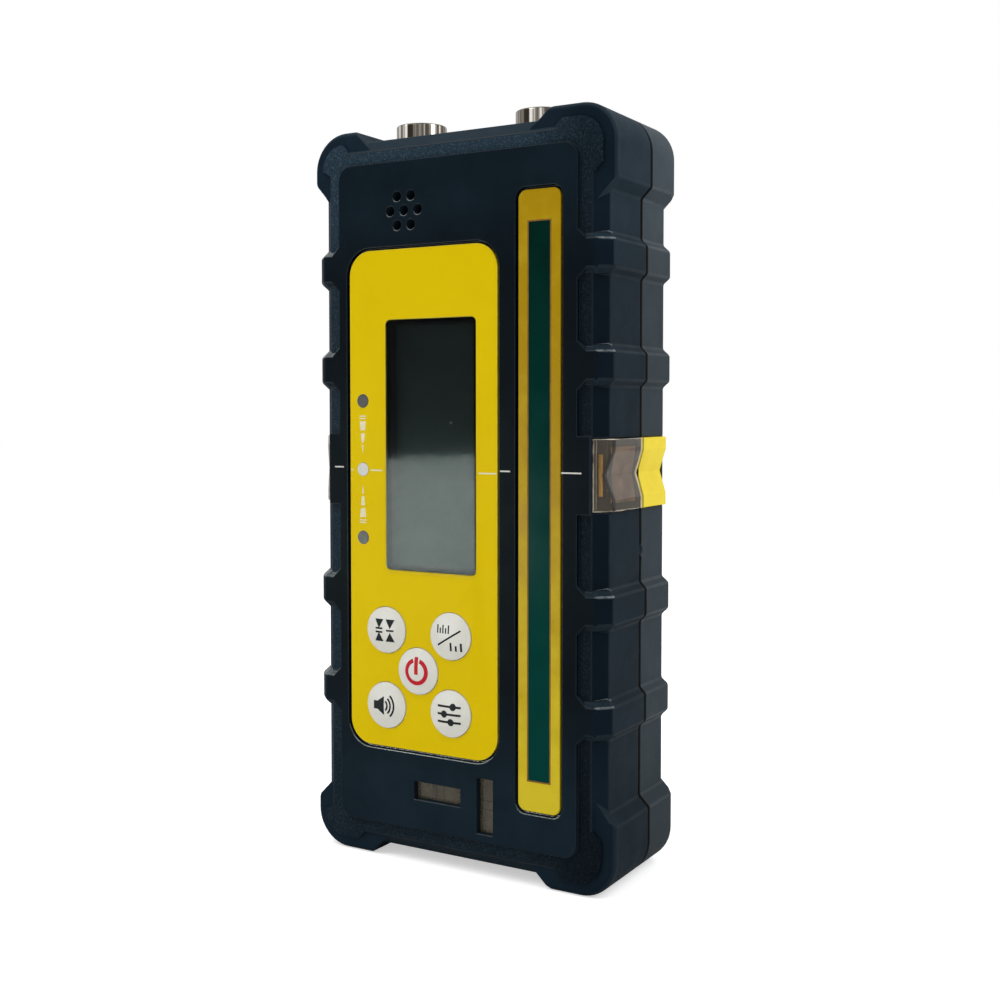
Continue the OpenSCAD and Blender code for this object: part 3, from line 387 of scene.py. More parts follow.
# a mottled colour that changes along the height
def fadedFinish(name, look):
    finish, tree, shader = newFinish(name, {"Specular IOR Level": look["specular"]})
    cloud = noiseOf(tree, *look["cloud"])
    fade = mapValue(tree, partOf(tree, "Z"), look["from"] * mm, look["to"] * mm)
    mottle = spread(tree, cloud, -look["mottle"], look["mottle"])
    base = mixColour(tree, combine(tree, "ADD", fade, mottle), look["start"], look["end"])
    if "dust" in look:
        base = mixColour(tree, useGroup(tree, dustGroup)["Speck"], base, look["dust"])
    feed(tree, shader, base, spread(tree, cloud, *look["rough"]))
    if "bump" in look:
        addBump(tree, shader, useGroup(tree, grainGroup)["Height"], *look["bump"])
    return finish


# the green filter is a little lighter towards its foot
filterLook = {"start": (0.0002, 0.0155, 0.0105), "end": (0.0008, 0.039, 0.032), "from": 150, "to": 50,
              "specular": 0.015, "cloud": (110.0, 3.0), "mottle": 0.12, "rough": (0.1, 0.18),
              "dust": (0.3, 0.34, 0.32)}
# the reception frame's gold is darker at the top
goldLook = {"start": (0.36, 0.22, 0.0015), "end": (0.59, 0.462, 0.019), "from": 100, "to": 15, "specular": 0.05,
            "cloud": (130.0, 4.0), "mottle": 0.22, "rough": (0.26, 0.42), "bump": (0.1, 0.02)}


# liquid crystal panel: dark grey-green with a faint column pattern
def displayFinish():
    look = {"dark": (0.012, 0.024, 0.024), "light": (0.026, 0.046, 0.045), "dust": (0.75, 0.78, 0.76),
            "columns": 420.0, "columnShare": 0.25, "specks": 420.0, "rough": (0.26, 0.3)}
    finish, tree, shader = newFinish("displayPanel", {"Specular IOR Level": 0.08})
    columns = place(tree, "ShaderNodeTexWave", {"Vector": objectPoint(tree), "Scale": look["columns"],
                                                "Distortion": 0.4}).outputs[1]
    cloud = noiseOf(tree, 70.0, 3.0)
    share = combine(tree, "ADD", combine(tree, "MULTIPLY", columns, look["columnShare"]), cloud)
    base = mixColour(tree, share, look["dark"], look["light"])
    speck = useGroup(tree, dustGroup, {"Speck Scale": look["specks"]})["Speck"]
    feed(tree, shader, mixColour(tree, speck, base, look["dust"]), spread(tree, cloud, *look["rough"]))
    return finish


# status lamp lenses: the middle one is milky, the outer two are smoked
def lampLensFinish():
    look = {"milky": (0.56, 0.55, 0.51), "smoked": (0.042, 0.043, 0.038), "cloud": (0.3, 0.3, 0.27), "reach": 5,
            "cloudShare": 0.12, "rough": (0.28, 0.45), "bump": (0.2, 0.03)}
    finish, tree, shader = newFinish("lampLens", {"Specular IOR Level": 0.15})
    away = combine(tree, "ABSOLUTE", combine(tree, "SUBTRACT", partOf(tree, "Z"), indexZ))
    outer = combine(tree, "GREATER_THAN", away, look["reach"] * mm)
    cloud = noiseOf(tree, 1400.0, 3.0)
    base = mixColour(tree, outer, look["milky"], look["smoked"])
    base = mixColour(tree, spread(tree, cloud, 0.0, look["cloudShare"]), base, look["cloud"])
    feed(tree, shader, base, spread(tree, cloud, *look["rough"]))
    addBump(tree, shader, cloud, *look["bump"])
    return finish


# circuit board: solder mask over a grid of tracks
def boardFinish():
    look = {"Scale": 190.0, "Mortar Size": 0.035, "Color1": rgb(0.010, 0.075, 0.028),
            "Color2": rgb(0.013, 0.090, 0.034), "Mortar": rgb(0.030, 0.150, 0.060)}
    finish, tree, shader = newFinish("greenBoard", {"Specular IOR Level": 0.5})
    turned = place(tree, "ShaderNodeMapping", {"Vector": objectPoint(tree), "Rotation": (math.pi / 2, 0.0, 0.0)})
    tracks = place(tree, "ShaderNodeTexBrick", {"Vector": turned.outputs[0], **look})
    feed(tree, shader, tracks.outputs[0], rubbed(tree, 0.3, 0.48))
    addBump(tree, shader, tracks.outputs[1], 0.2, 0.04)
    return finish


# plain cell sleeve: dark body, a pale band round the upper part and bare metal ends
def cellFinish():
    cellLow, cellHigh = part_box("battery_left")
    look = {"body": (0.020, 0.022, 0.026), "band": (0.42, 0.43, 0.44), "end": (0.66, 0.65, 0.62), "bandFrom": 0.68,
            "endShare": 0.03}
    finish, tree, shader = newFinish("cellSleeve", {"Specular IOR Level": 0.5})
    share = mapValue(tree, partOf(tree, "Z"), cellLow.z, cellHigh.z)
    banded = combine(tree, "GREATER_THAN", share, look["bandFrom"])
    middle = combine(tree, "ABSOLUTE", combine(tree, "SUBTRACT", share, 0.5))
    bare = combine(tree, "GREATER_THAN", middle, 0.5 - look["endShare"])
    base = mixColour(tree, banded, look["body"], look["band"])
    feed(tree, shader, mixColour(tree, bare, base, look["end"]), rubbed(tree, 0.22, 0.4))
    tree.links.new(bare, shader.inputs["Metallic"])
    return finish


finishes["nickel"] = nickelReflectionFinish()
finishes["filter"] = fadedFinish("greenFilter", filterLook)
finishes["gold"] = fadedFinish("goldReceptionFrame", goldLook)
finishes["display"] = displayFinish()
finishes["lampLens"] = lampLensFinish()
finishes["board"] = boardFinish()
finishes["cell"] = cellFinish()
print("all finishes made:", len(finishes))

# modelling helpers, with lengths in millimetres and angles in degrees
meshLook = {"weld": 0.002, "flat": 0.6, "sharp": 24, "smooth": 32, "square": 60}


def clearSelection():
    if bpy.context.object and bpy.context.object.mode != "OBJECT":
        bpy.ops.object.mode_set(mode="OBJECT")
    bpy.ops.object.select_all(action="DESELECT")


def pickOnly(piece):
    clearSelection()
    piece.select_set(True)
    bpy.context.view_layer.objects.active = piece


def pickAll(action="SELECT"):
    bpy.ops.mesh.select_all(action=action)


def editPiece(piece, mode="EDGE"):
    pickOnly(piece)
    bpy.ops.object.mode_set(mode="EDIT")
    bpy.ops.mesh.select_mode(type=mode)
    pickAll("DESELECT")


def leaveEdit():
    bpy.ops.object.mode_set(mode="OBJECT")


def applyModifiers(piece):
    pickOnly(piece)
    for modifier in list(piece.modifiers):
        bpy.ops.object.modifier_apply(modifier=modifier.name)


def applyPlace(piece):
    pickOnly(piece)
    bpy.ops.object.transform_apply(location=True, rotation=True, scale=True)


# a primitive with its stretch and place made part of its mesh
def addPiece(operator, name="mark", stretch=(1, 1, 1), **settings):
    clearSelection()
    operator(**settings)
    piece = bpy.context.object
    piece.name = piece.data.name = name
    piece.scale = stretch
    applyPlace(piece)
    return piece


def addModifier(piece, name, kind, **settings):
    setAll(piece.modifiers.new(name, kind), settings)


def smoothPiece(piece, angle=meshLook["smooth"]):
    pickOnly(piece)
    bpy.ops.object.shade_smooth_by_angle(angle=math.radians(angle))


def weightNormals(piece):
    addModifier(piece, "evenNormals", "WEIGHTED_NORMAL", keep_sharp=True)
    applyModifiers(piece)


def setFinish(piece, *names):
    piece.data.materials.clear()
    for name in names:
        piece.data.materials.append(finishes[name])


def depthOf(point):
    return (point.y - frontY) / mm


def everywhere(point):
    return True


def nearFront(reach):
    return lambda point: depthOf(point) < reach


def nearBack(reach):
    return lambda point: point.y > backY - reach * mm


# welds the triangles of a CAD mesh into flat faces
def weldFaces():
    pickAll()
    bpy.ops.mesh.remove_doubles(threshold=meshLook["weld"] * mm)
    bpy.ops.mesh.dissolve_limited(angle_limit=math.radians(meshLook["flat"]))


def cutFaces(where, along):
    pickAll()
    bpy.ops.mesh.bisect(plane_co=where, plane_no=along)


def splitConcave():
    pickAll()
    bpy.ops.mesh.vert_connect_concave()


def bevelPicked(width, segments, affect="EDGES", **settings):
    bpy.ops.mesh.bevel(offset=width * mm, segments=segments, affect=affect, clamp_overlap=False, **settings)


# picks sharp edges whose middle passes the test
def pickSharp(piece, test, least):
    mesh = bmesh.from_edit_mesh(piece.data)
    for edge in mesh.edges:
        sharp = edge.is_manifold and edge.calc_face_angle(0.0) > math.radians(least)
        edge.select_set(sharp and test((edge.verts[0].co + edge.verts[1].co) / 2))
    mesh.select_flush_mode()
    bmesh.update_edit_mesh(piece.data)


# picks the vertices, edges or faces that pass the test
def pickWhere(piece, kind, test):
    mesh = bmesh.from_edit_mesh(piece.data)
    for item in getattr(mesh, kind):
        item.select_set(test(item))
    bmesh.update_edit_mesh(piece.data)


# gives the faces that pass the test a material slot
def paintFaces(piece, slotNumber, test):
    mesh = bmesh.from_edit_mesh(piece.data)
    for face in mesh.faces:
        if test(face):
            face.material_index = slotNumber
    bmesh.update_edit_mesh(piece.data)


# a welded copy of a CAD node with its sharp edges rounded, which stands for the node: a round is a width, a number
# of steps, the look of the rounded edges and a test, and a paint is a look and a test
def dressNode(nodeName, pieceName, body, looks, rounds, paints=(), latePaints=(), least=meshLook["sharp"],
              smooth=meshLook["smooth"], shapeUp=None):
    piece = bpy.data.objects.new(pieceName, nodes[nodeName].data.copy())
    scene.collection.objects.link(piece)
    setFinish(piece, *looks)
    pickOnly(piece)
    bpy.ops.mesh.customdata_custom_splitnormals_clear()
    editPiece(piece)
    weldFaces()
    if shapeUp:
        shapeUp(piece)
    for look, test in paints:
        paintFaces(piece, looks.index(look), test)
    for width, steps, look, test in rounds:
        pickAll("DESELECT")
        pickSharp(piece, test, least)
        bevelPicked(width, steps, material=looks.index(look))
    for look, test in latePaints:
        paintFaces(piece, looks.index(look), test)
    leaveEdit()
    smoothPiece(piece, smooth)
    weightNormals(piece)
    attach(piece, body)
    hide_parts(nodeName)
    return piece


# case shells
shell = {"bumperOut": 2.5, "wall": 2.4, "play": 0.1, "sideRound": (0.4, 3), "faceRound": (0.2, 2),
             "faceDepth": 1.4, "panelDepth": 1.35, "panelHalf": 33.2, "flush": 0.05, "facing": 0.95,
             "step": 1.0, "stepPlay": 0.08, "seam": 0.75, "upward": 0.25,
             "rimTilt": 0.4, "rimFlat": 0.9, "edgeTilt": 0.72, "bumperRim": 1.5,
             "rimHalf": 31.0, "rimLow": 10.0, "rimHigh": 166.0, "levelTop": 25.0, "levelRight": 13.5,
             "ribs": (-54.8, -30.1, 24.4, 49.1), "shoulder": (2.6, 6.2), "shoulderOut": 33.5,
             "shoulderDepth": 5.5, "shoulderTilt": 0.65, "backEdge": 1.2, "cutEnds": (6.5, 171.4), "cutHalf": 7.5,
             "doorRound": (0.3, 3), "doorEdge": 1.9}
shell["inside"] = shell["bumperOut"] + shell["wall"] - shell["play"]
frontLooks = ["side", "panel", "band", "edge", "panelEdge", "paintedGlint", "rubberAndSeamShade", "ribGlint", "paintedDimGlint", "frontRim"]


def wears(face, look):
    return frontLooks[face.material_index] == look


def onCaseSide(point):
    inside = shell["inside"] * mm
    return abs(point.x) > caseHigh.x - inside or point.z < caseLow.z + inside or point.z > caseHigh.z - inside


def onFace(point):
    return depthOf(point) < shell["faceDepth"] and not onCaseSide(point)


def facesFront(face):
    return face.normal.y < -shell["facing"]


def isBand(face):
    rise = depthOf(face.calc_center_median()) - shell["step"]
    return facesFront(face) and abs(rise) < shell["stepPlay"]


def isPanel(face):
    centre = face.calc_center_median()
    inPanel = depthOf(centre) < shell["panelDepth"] and abs(centre.x) / mm < shell["panelHalf"]
    return inPanel or facesFront(face) and depthOf(centre) < shell["flush"]


# side faces that look to the front: the bumpers' flat rims and the bevel beside the band, painted darker as
# painted shade since they face away from the light on the sides
def isFrontRim(face):
    upright = abs(face.normal.z) < shell["upward"]
    onBumper = abs(face.calc_center_median().x) > caseHigh.x - shell["bumperRim"] * mm
    tilted = upright and not onBumper and face.normal.y < -shell["rimTilt"]
    return face.normal.y < -shell["rimFlat"] or tilted


# rounded edges of those faces, as far as they look to the front, take the same painted shade
def isRimEdge(face):
    return wears(face, "edge") and face.normal.y < -shell["edgeTilt"]


# rounded edges beside the seal line, painted black like the seal as painted shade in the seam between the shells
def isSeamShade(face):
    centre = face.calc_center_median()
    return onCaseSide(centre) and abs(centre.y - seamY) < shell["seam"] * mm


# lower rims of holes and recesses in the panel, which face the light from above, take a painted glint
def isLitRim(face):
    centre = face.calc_center_median()
    inside = abs(centre.x) < shell["rimHalf"] * mm and (
        shell["rimLow"] * mm < centre.z < shell["rimHigh"] * mm)
    return wears(face, "panelEdge") and inside and face.normal.z > shell["upward"]


# the level windows' lower rims take a dimmer painted glint
def isLevelRim(face):
    centre = face.calc_center_median()
    nearLevels = centre.z < shell["levelTop"] * mm and centre.x < shell["levelRight"] * mm
    return wears(face, "paintedGlint") and nearLevels


# painted highlights on the upward shoulders of the ribs near the face, where light from above glints
def isGlintedRib(face):
    centre = face.calc_center_median()
    low, high = shell["shoulder"]
    onRib = any(low * mm < centre.z - indexZ - rib * mm < high * mm for rib in shell["ribs"])
    near = depthOf(centre) < shell["shoulderDepth"] and abs(centre.x) > shell["shoulderOut"] * mm
    edgeStrip = wears(face, "edge") and shell["upward"] < face.normal.z < shell["shoulderTilt"]
    # on the left the upward shoulder faces themselves take the painted highlight
    litLeft = centre.x < 0 and face.normal.z > shell["upward"]
    return onRib and near and (edgeStrip or litLeft)


# cuts the long comb-shaped bevel of the back into plain faces before its edges are rounded
def splitBack(piece):
    heights = [end * mm for end in shell["cutEnds"]]
    heights += [indexZ + (rib + way * shell["cutHalf"]) * mm for rib in shell["ribs"] for way in (-1, 1)]
    for height in heights:
        cutFaces((0, 0, height), (0, 0, 1))
    splitConcave()


def onRearEdge(point):
    return onCaseSide(point) or nearBack(shell["backEdge"])(point)


frontShell = dressNode(
    "front_housing", "frontShell", "case", frontLooks,
    [(*shell["sideRound"], "edge", onCaseSide), (*shell["faceRound"], "panelEdge", onFace)],
    paints=[("frontRim", isFrontRim), ("panel", isPanel), ("band", isBand)],
    latePaints=[("paintedGlint", isLitRim), ("paintedDimGlint", isLevelRim), ("ribGlint", isGlintedRib), ("frontRim", isRimEdge),
                ("rubberAndSeamShade", isSeamShade)])
rearShell = dressNode(
    "rear_housing", "rearShell", "case", ["rear", "rearEdge", "rubberAndSeamShade"],
    [(*shell["sideRound"], "rearEdge", onRearEdge)], latePaints=[("rubberAndSeamShade", isSeamShade)], shapeUp=splitBack)
doorPanel = dressNode(
    "battery_door", "doorPanel", "battery_door", ["rear", "rearEdge"],
    [(*shell["doorRound"], "rearEdge", nearBack(shell["doorEdge"]))])
print("shells dressed:", len(frontShell.data.polygons), len(rearShell.data.polygons), len(doorPanel.data.polygons))

keyNames = ("accuracy", "units", "power", "sound", "set")
keyMiddles = {name: middleOf(f"key_{name}") for name in keyNames}

# plates, blocks and caps that keep their CAD form with rounded edges
plateLook = {"lip": 0.964, "lipReach": 6.2, "windowRound": (1.3, 6), "fill": 1.0, "play": 0.2, "reach": 0.4,
             "overlayRound": (0.15, 2), "glassRound": (0.08, 2), "frameRound": (0.2, 3),
             "keyRound": (0.1, 3), "keyReach": 0.6, "screwRound": (0.2, 2), "screwReach": 1.0}


# rounds the four edges of a block that run from front to back
def roundCorners(piece):
    def runsBack(edge):
        run = edge.verts[0].co - edge.verts[1].co
        return math.hypot(run.x, run.z) < hair * mm

    pickAll("DESELECT")
    pickWhere(piece, "edges", runsBack)
    bevelPicked(*plateLook["windowRound"])


# a block over the display opening, which a boolean adds to the overlay or takes from it
def openingBlock(grow, growDepth):
    low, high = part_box("lcd_window")
    return addPiece(bpy.ops.mesh.primitive_cube_add, stretch=high - low + Vector((grow, growDepth, grow)) * mm,
                    size=1, location=(low + high) / 2)


def useBlock(plate, block, operation):
    addModifier(plate, "openingBlock", "BOOLEAN", object=block, operation=operation, solver="EXACT")
    applyModifiers(plate)
    bpy.data.objects.remove(block)


# gives the overlay's display opening round corners: the square one is filled, then a round one is cut
def roundOpening(plate):
    leaveEdit()
    useBlock(plate, openingBlock(plateLook["fill"], 0.0), "UNION")
    cutter = openingBlock(plateLook["play"], plateLook["fill"])
    editPiece(cutter)
    roundCorners(cutter)
    leaveEdit()
    useBlock(plate, cutter, "DIFFERENCE")
    editPiece(plate)
    weldFaces()


# draws the overlay's key holes in to a thin lip round each cap
def closeLips(plate):
    bpy.ops.mesh.select_mode(type="VERT")
    for middle in keyMiddles.values():
        pickAll("DESELECT")
        pickWhere(plate, "verts", lambda vertex: math.hypot(
            vertex.co.x - middle.x, vertex.co.z - middle.z) < plateLook["lipReach"] * mm)
        bpy.ops.transform.resize(value=(plateLook["lip"], 1, plateLook["lip"]), center_override=middle)
    bpy.ops.mesh.select_mode(type="EDGE")
    roundOpening(plate)


onPlate = nearFront(plateLook["reach"])
dressNode("keypad_overlay", "overlayPlate", "case", ["overlay", "overlayLip"],
          [(*plateLook["overlayRound"], "overlayLip", onPlate)], shapeUp=closeLips)
dressNode("lcd_window", "displayGlass", "case", ["window"],
          [(*plateLook["glassRound"], "window", onPlate)], shapeUp=roundCorners)
dressNode("sensor_frame", "receptionFrame", "case", ["gold"],
          [(*plateLook["frameRound"], "gold", onPlate)])

# the clear blocks' edges carry painted pale highlights mottled with dark, apart from the groove's lines, and
# painted shade in a line where groove and bevel meet and along the back edge
blockLook = {"round": (0.2, 3), "backRound": (0.4, 4), "shadeRound": (0.55, 4), "shadeDepth": (1.4, 5.2),
             "clearOf": 7.6, "grooveHalf": 6.0, "back": 0.6, "land": (1.35, 0.42), "outward": 0.5, "sharp": 12,
             "smooth": 14}


def onShade(point):
    near, far = blockLook["shadeDepth"]
    return near < depthOf(point) < far and abs(point.z - indexZ) < blockLook["clearOf"] * mm


def onBlockBack(point):
    return point.y > lensHigh.y - blockLook["back"] * mm


def isLand(face):
    start, end = blockLook["land"]
    ahead = lensHigh.y - face.calc_center_median().y
    return abs(face.normal.x) > blockLook["outward"] and start * mm > ahead > end * mm


# a line along the outer face, in front of which the block is clear and behind which a cream strip is painted,
# standing for the yellow block seen through the clear plastic
def markLand(block):
    cutFaces((0, lensHigh.y - blockLook["land"][0] * mm, 0), (0, 1, 0))
    splitConcave()


def onGroove(point):
    inGroove = abs(point.z - indexZ) < blockLook["grooveHalf"] * mm and depthOf(point) > blockLook["shadeDepth"][1]
    return inGroove and not onShade(point) and not onBlockBack(point)


def onBlockRim(point):
    return not onShade(point) and not onBlockBack(point) and not onGroove(point)


for hand in hands:
    dressNode(f"side_lens_{hand}", f"clearBlock_{hand}", "case",
              ["clearBlock", "clearRim", "clearShade", "clearLand"],
              [(*blockLook["shadeRound"], "clearShade", onShade),
               (*blockLook["backRound"], "clearShade", onBlockBack),
               (*blockLook["round"], "clearBlock", onGroove), (*blockLook["round"], "clearRim", onBlockRim)],
              latePaints=[("clearLand", isLand)], least=blockLook["sharp"], smooth=blockLook["smooth"],
              shapeUp=markLand)
    dressNode(f"side_index_{hand}", f"yellowBlock_{hand}", "case", ["indexYellow"],
              [(*blockLook["round"], "indexYellow", everywhere)], least=blockLook["sharp"],
              smooth=blockLook["smooth"])
keyCaps = {name: dressNode(f"key_{name}", f"keyCap_{name}", f"key_{name}", ["key"],
                           [(*plateLook["keyRound"], "key", nearFront(plateLook["keyReach"]))])
           for name in keyNames}
dressNode("door_screw", "coinScrew", "door_screw", ["steel"],
          [(*plateLook["screwRound"], "steel", nearBack(plateLook["screwReach"]))])
print("plates, blocks and keys dressed")

# CAD nodes whose shape stays get their finish
nodeFinishes = {
    "rubberAndSeamShade": ["case_gasket", "door_seal", "speaker_membrane"],
    "steel": ["case_screws", "board_screws"],
    "display": ["lcd_panel"],
    "frameWhite": ["lcd_frame", "status_leds"],
    "blackPart": ["key_switches", "photodiodes", "buzzer"],
    "lampLens": ["led_lenses"],
    "filter": ["sensor_window"],
    "board": ["sensor_board", "main_board"],
    "ribbon": ["board_ribbon"],
    "vial": ["vial_lying", "vial_standing"],
    "spirit": ["vial_spirit"],
    "plug": ["vial_plugs"],
    "brass": ["door_nut", "battery_posts", "clamp_insert"],
    "cell": ["battery_left", "battery_right"],
    "contact": ["battery_contacts"],
}
for finishName, nodeNames in nodeFinishes.items():
    for nodeName in nodeNames:
        setFinish(nodes[nodeName], finishName)


# flat marks are drawn lying in x and y, in millimetres, then stood up facing the front

def flatBar(x, z, width, height, turn=0.0, taper=1.0):
    clearSelection()
    bpy.ops.mesh.primitive_plane_add(size=1, location=(x * mm, z * mm, 0), rotation=(0, 0, math.radians(turn)))
    bar = bpy.context.object
    bar.scale = (width * mm, height * mm, 1)
    for vertex in bar.data.vertices:
        if vertex.co.y > 0:
            vertex.co.x *= taper
    applyPlace(bar)
    return bar


def flatTriangle(x, z, width, height, turn=0.0):
    stretch = (width * mm / math.sqrt(3), height * mm / 1.5, 1)
    return addPiece(bpy.ops.mesh.primitive_circle_add, stretch=stretch, vertices=3, radius=1, fill_type="NGON",
                    location=(x * mm, z * mm, 0), rotation=(0, 0, math.radians(turn)))


def flatDisc(x, z, radius):
    return addPiece(bpy.ops.mesh.primitive_circle_add, vertices=24, radius=radius * mm, fill_type="TRIFAN",
                    location=(x * mm, z * mm, 0))


# band of a circle between two angles, counted from the right
def flatArc(x, z, radius, width, start, end, count=96):
    def isOutside(vertex):
        angle = math.degrees(math.atan2(vertex.co.y, vertex.co.x))
        while angle < start:
            angle += 360
        return angle > end

    arc = addPiece(bpy.ops.mesh.primitive_circle_add, vertices=count, radius=radius * mm, fill_type="NOTHING")
    editPiece(arc, "VERT")
    pickWhere(arc, "verts", isOutside)
    bpy.ops.mesh.delete(type="VERT")
    pickAll()
    bpy.ops.mesh.extrude_region_move()
    grow = (radius + width) / radius
    bpy.ops.transform.resize(value=(grow, grow, 1), center_override=(0, 0, 0))
    pickAll()
    bpy.ops.mesh.normals_make_consistent(inside=False)
    leaveEdit()
    arc.location = (x * mm, z * mm, 0)
    applyPlace(arc)
    return arc


def joinMarks(name, marks):
    clearSelection()
    for mark in marks:
        mark.select_set(True)
    bpy.context.view_layer.objects.active = marks[0]
    bpy.ops.object.join()
    sheet = bpy.context.object
    sheet.name = sheet.data.name = name
    return sheet


def faceFront(sheet):
    mesh = bmesh.from_edit_mesh(sheet.data)
    for face in mesh.faces:
        if face.normal.y > 0:
            face.normal_flip()
    bmesh.update_edit_mesh(sheet.data)


inkLook = {"film": 0.03, "cuts": 5, "lift": 0.005, "onPanel": 0.0, "onPlate": 0.3}


# stands the marks up at a place, lays them on a surface if one is given and gives them an ink's thickness
def printMarks(name, marks, inkName, body, spot, onto=None, thick=inkLook["film"]):
    sheet = joinMarks(name, marks)
    sheet.rotation_euler = (math.pi / 2, 0, 0)
    sheet.location = spot
    applyPlace(sheet)
    editPiece(sheet, "FACE")
    pickAll()
    if onto:
        bpy.ops.mesh.subdivide(number_cuts=inkLook["cuts"])
    faceFront(sheet)
    leaveEdit()
    if onto:
        addModifier(sheet, "lieOn", "SHRINKWRAP", target=onto, wrap_method="PROJECT", use_project_y=True,
                    use_positive_direction=True, use_negative_direction=True, wrap_mode="ABOVE_SURFACE",
                    offset=inkLook["lift"] * mm)
    addModifier(sheet, "inkFilm", "SOLIDIFY", thickness=thick * mm, offset=1.0)
    applyModifiers(sheet)
    setFinish(sheet, inkName)
    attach(sheet, body)


# index line across the face
lineLook = {"thick": 0.34, "onPanel": [(-34.3, -31.6), (13.1, 15.8), (28.95, 34.0)], "panelRise": 0.5,
            "onOverlay": [(-29.7, -28.9), (-23.6, -20.2), (7.2, 12.0)], "overlayRise": -0.15}


def indexLine(name, inkName, spans, depth, rise):
    bars = [flatBar((left + right) / 2, rise, right - left, lineLook["thick"]) for left, right in spans]
    printMarks(name, bars, inkName, "case", (0, frontY + depth * mm, indexZ))


indexLine("panelIndexLine", "inkWhite", lineLook["onPanel"], inkLook["onPanel"], lineLook["panelRise"])
indexLine("overlayIndexLine", "inkCream", lineLook["onOverlay"], inkLook["onPlate"], lineLook["overlayRise"])

# tapered level bars between the lamps: height above the index line, length, foot width and top width
barLook = {"bars": [(13.0, 0.3, 1.95, 1.95), (12.42, 0.3, 1.9, 1.9), (10.6, 2.25, 1.35, 1.85),
                    (7.7, 2.3, 0.72, 1.25), (5.0, 1.95, 0.1, 0.5)]}
lampX = (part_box("led_lenses")[0].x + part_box("led_lenses")[1].x) / 2 / mm
levelBars = []
for rise, length, foot, top in barLook["bars"]:
    levelBars.append(flatBar(lampX, rise, foot, length, taper=top / foot))
    levelBars.append(flatBar(lampX, -rise, foot, length, turn=180, taper=top / foot))
printMarks("levelBars", levelBars, "inkCream", "case", (0, frontY + inkLook["onPlate"] * mm, indexZ))
print("printed lines and bars laid")

# key symbols, round each key's own middle: places and sizes across and up, widths and turns
sign = {
    "columns": ((-1.6, (0.45, -0.45)), (1.6, (0.0,))), "arrowRise": 1.95, "arrow": (2.5, 2.25),
    "line": (2.1, 0.42),
    "stroke": (0, -0.25, 7.4, 0.42, 31), "scales": ((-1.6, 1.75, 0.78, 5, 0.36), (1.9, -2.3, 1.35, 3, 0.5)),
    "tall": 2.0, "short": 1.3, "ring": (0, 0, 2.25, 1.0, 107, 433), "ringBar": (0, 1.45, 1.0, 4.2),
    "box": (-2.6, 0, 1.4, 2.02), "coneAt": -1.15, "cone": (4.6, 1.9), "coneNarrow": 0.44, "waveAt": -0.75,
    "waves": (1.25, 2.15, 3.1), "wave": (0.46, -52, 52),
    "sliders": ((1.85, 1.1), (0.0, -1.3), (-1.85, 0.5)), "rail": (6.4, 0.52), "knob": 0.86}


# arrows that meet at two lines and at one
def accuracySymbol():
    marks = []
    for x, lines in sign["columns"]:
        for side, turn in ((-1, 0), (1, 180)):
            marks.append(flatTriangle(x, side * sign["arrowRise"], *sign["arrow"], turn))
        marks += [flatBar(x, z, *sign["line"]) for z in lines]
    return marks


# a long stroke between a fine scale and a coarse scale
def unitsSymbol():
    marks = [flatBar(*sign["stroke"])]
    longest = sign["tall"]
    for x, z, gap, count, thick in sign["scales"]:
        for step in range(count):
            tall = sign["short"] if step % 2 else longest
            marks.append(flatBar(x + (step - (count - 1) / 2) * gap, z - (longest - tall) / 2, thick, tall))
    return marks


def powerSymbol():
    return [flatArc(*sign["ring"]), flatBar(*sign["ringBar"])]


def soundSymbol():
    cone = flatBar(sign["coneAt"], 0, *sign["cone"], turn=-90)
    for vertex in cone.data.vertices:
        if vertex.co.x < sign["coneAt"] * mm:
            vertex.co.y *= sign["coneNarrow"]
    waves = [flatArc(sign["waveAt"], 0, radius, *sign["wave"]) for radius in sign["waves"]]
    return [flatBar(*sign["box"]), cone] + waves


# three sliders
def setSymbol():
    marks = []
    for z, knob in sign["sliders"]:
        marks += [flatBar(0, z, *sign["rail"]), flatDisc(knob, z, sign["knob"])]
    return marks


symbols = {"accuracy": accuracySymbol, "units": unitsSymbol, "power": powerSymbol, "sound": soundSymbol,
           "set": setSymbol}
for name in keyNames:
    middle = keyMiddles[name]
    printMarks(f"keySymbol_{name}", symbols[name](), "inkRed" if name == "power" else "inkBlack", f"key_{name}",
               (middle.x, frontY - 2 * mm, middle.z), onto=keyCaps[name])
print("key symbols printed")

# thin brown line round the green filter
trimLook = {"width": 0.32, "frameSide": 2.7, "frameEnd": 7.2}


def filterTrim():
    low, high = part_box("sensor_frame")
    wide = (high.x - low.x) / mm - 2 * trimLook["frameSide"]
    tall = (high.z - low.z) / mm - 2 * trimLook["frameEnd"]
    edge = trimLook["width"]
    sides = [flatBar(side * (wide + edge) / 2, 0, edge, tall + 2 * edge) for side in (-1, 1)]
    ends = [flatBar(0, side * (tall + edge) / 2, wide, edge) for side in (-1, 1)]
    printMarks("filterTrim", sides + ends, "inkBrown", "case",
               ((low.x + high.x) / 2, frontY + inkLook["onPlate"] * mm, (low.z + high.z) / 2))


filterTrim()

# nickel magnets: a cup with a rounded rim, a ring groove and a set-in disc
magnet = {"rim": (0.5, 4), "profile": 0.6, "wall": 1.3, "ring": 0.45, "sink": 0.35, "discRise": 0.8, "draft": 0.05,
              "level": 0.9, "tilt": 0.3}


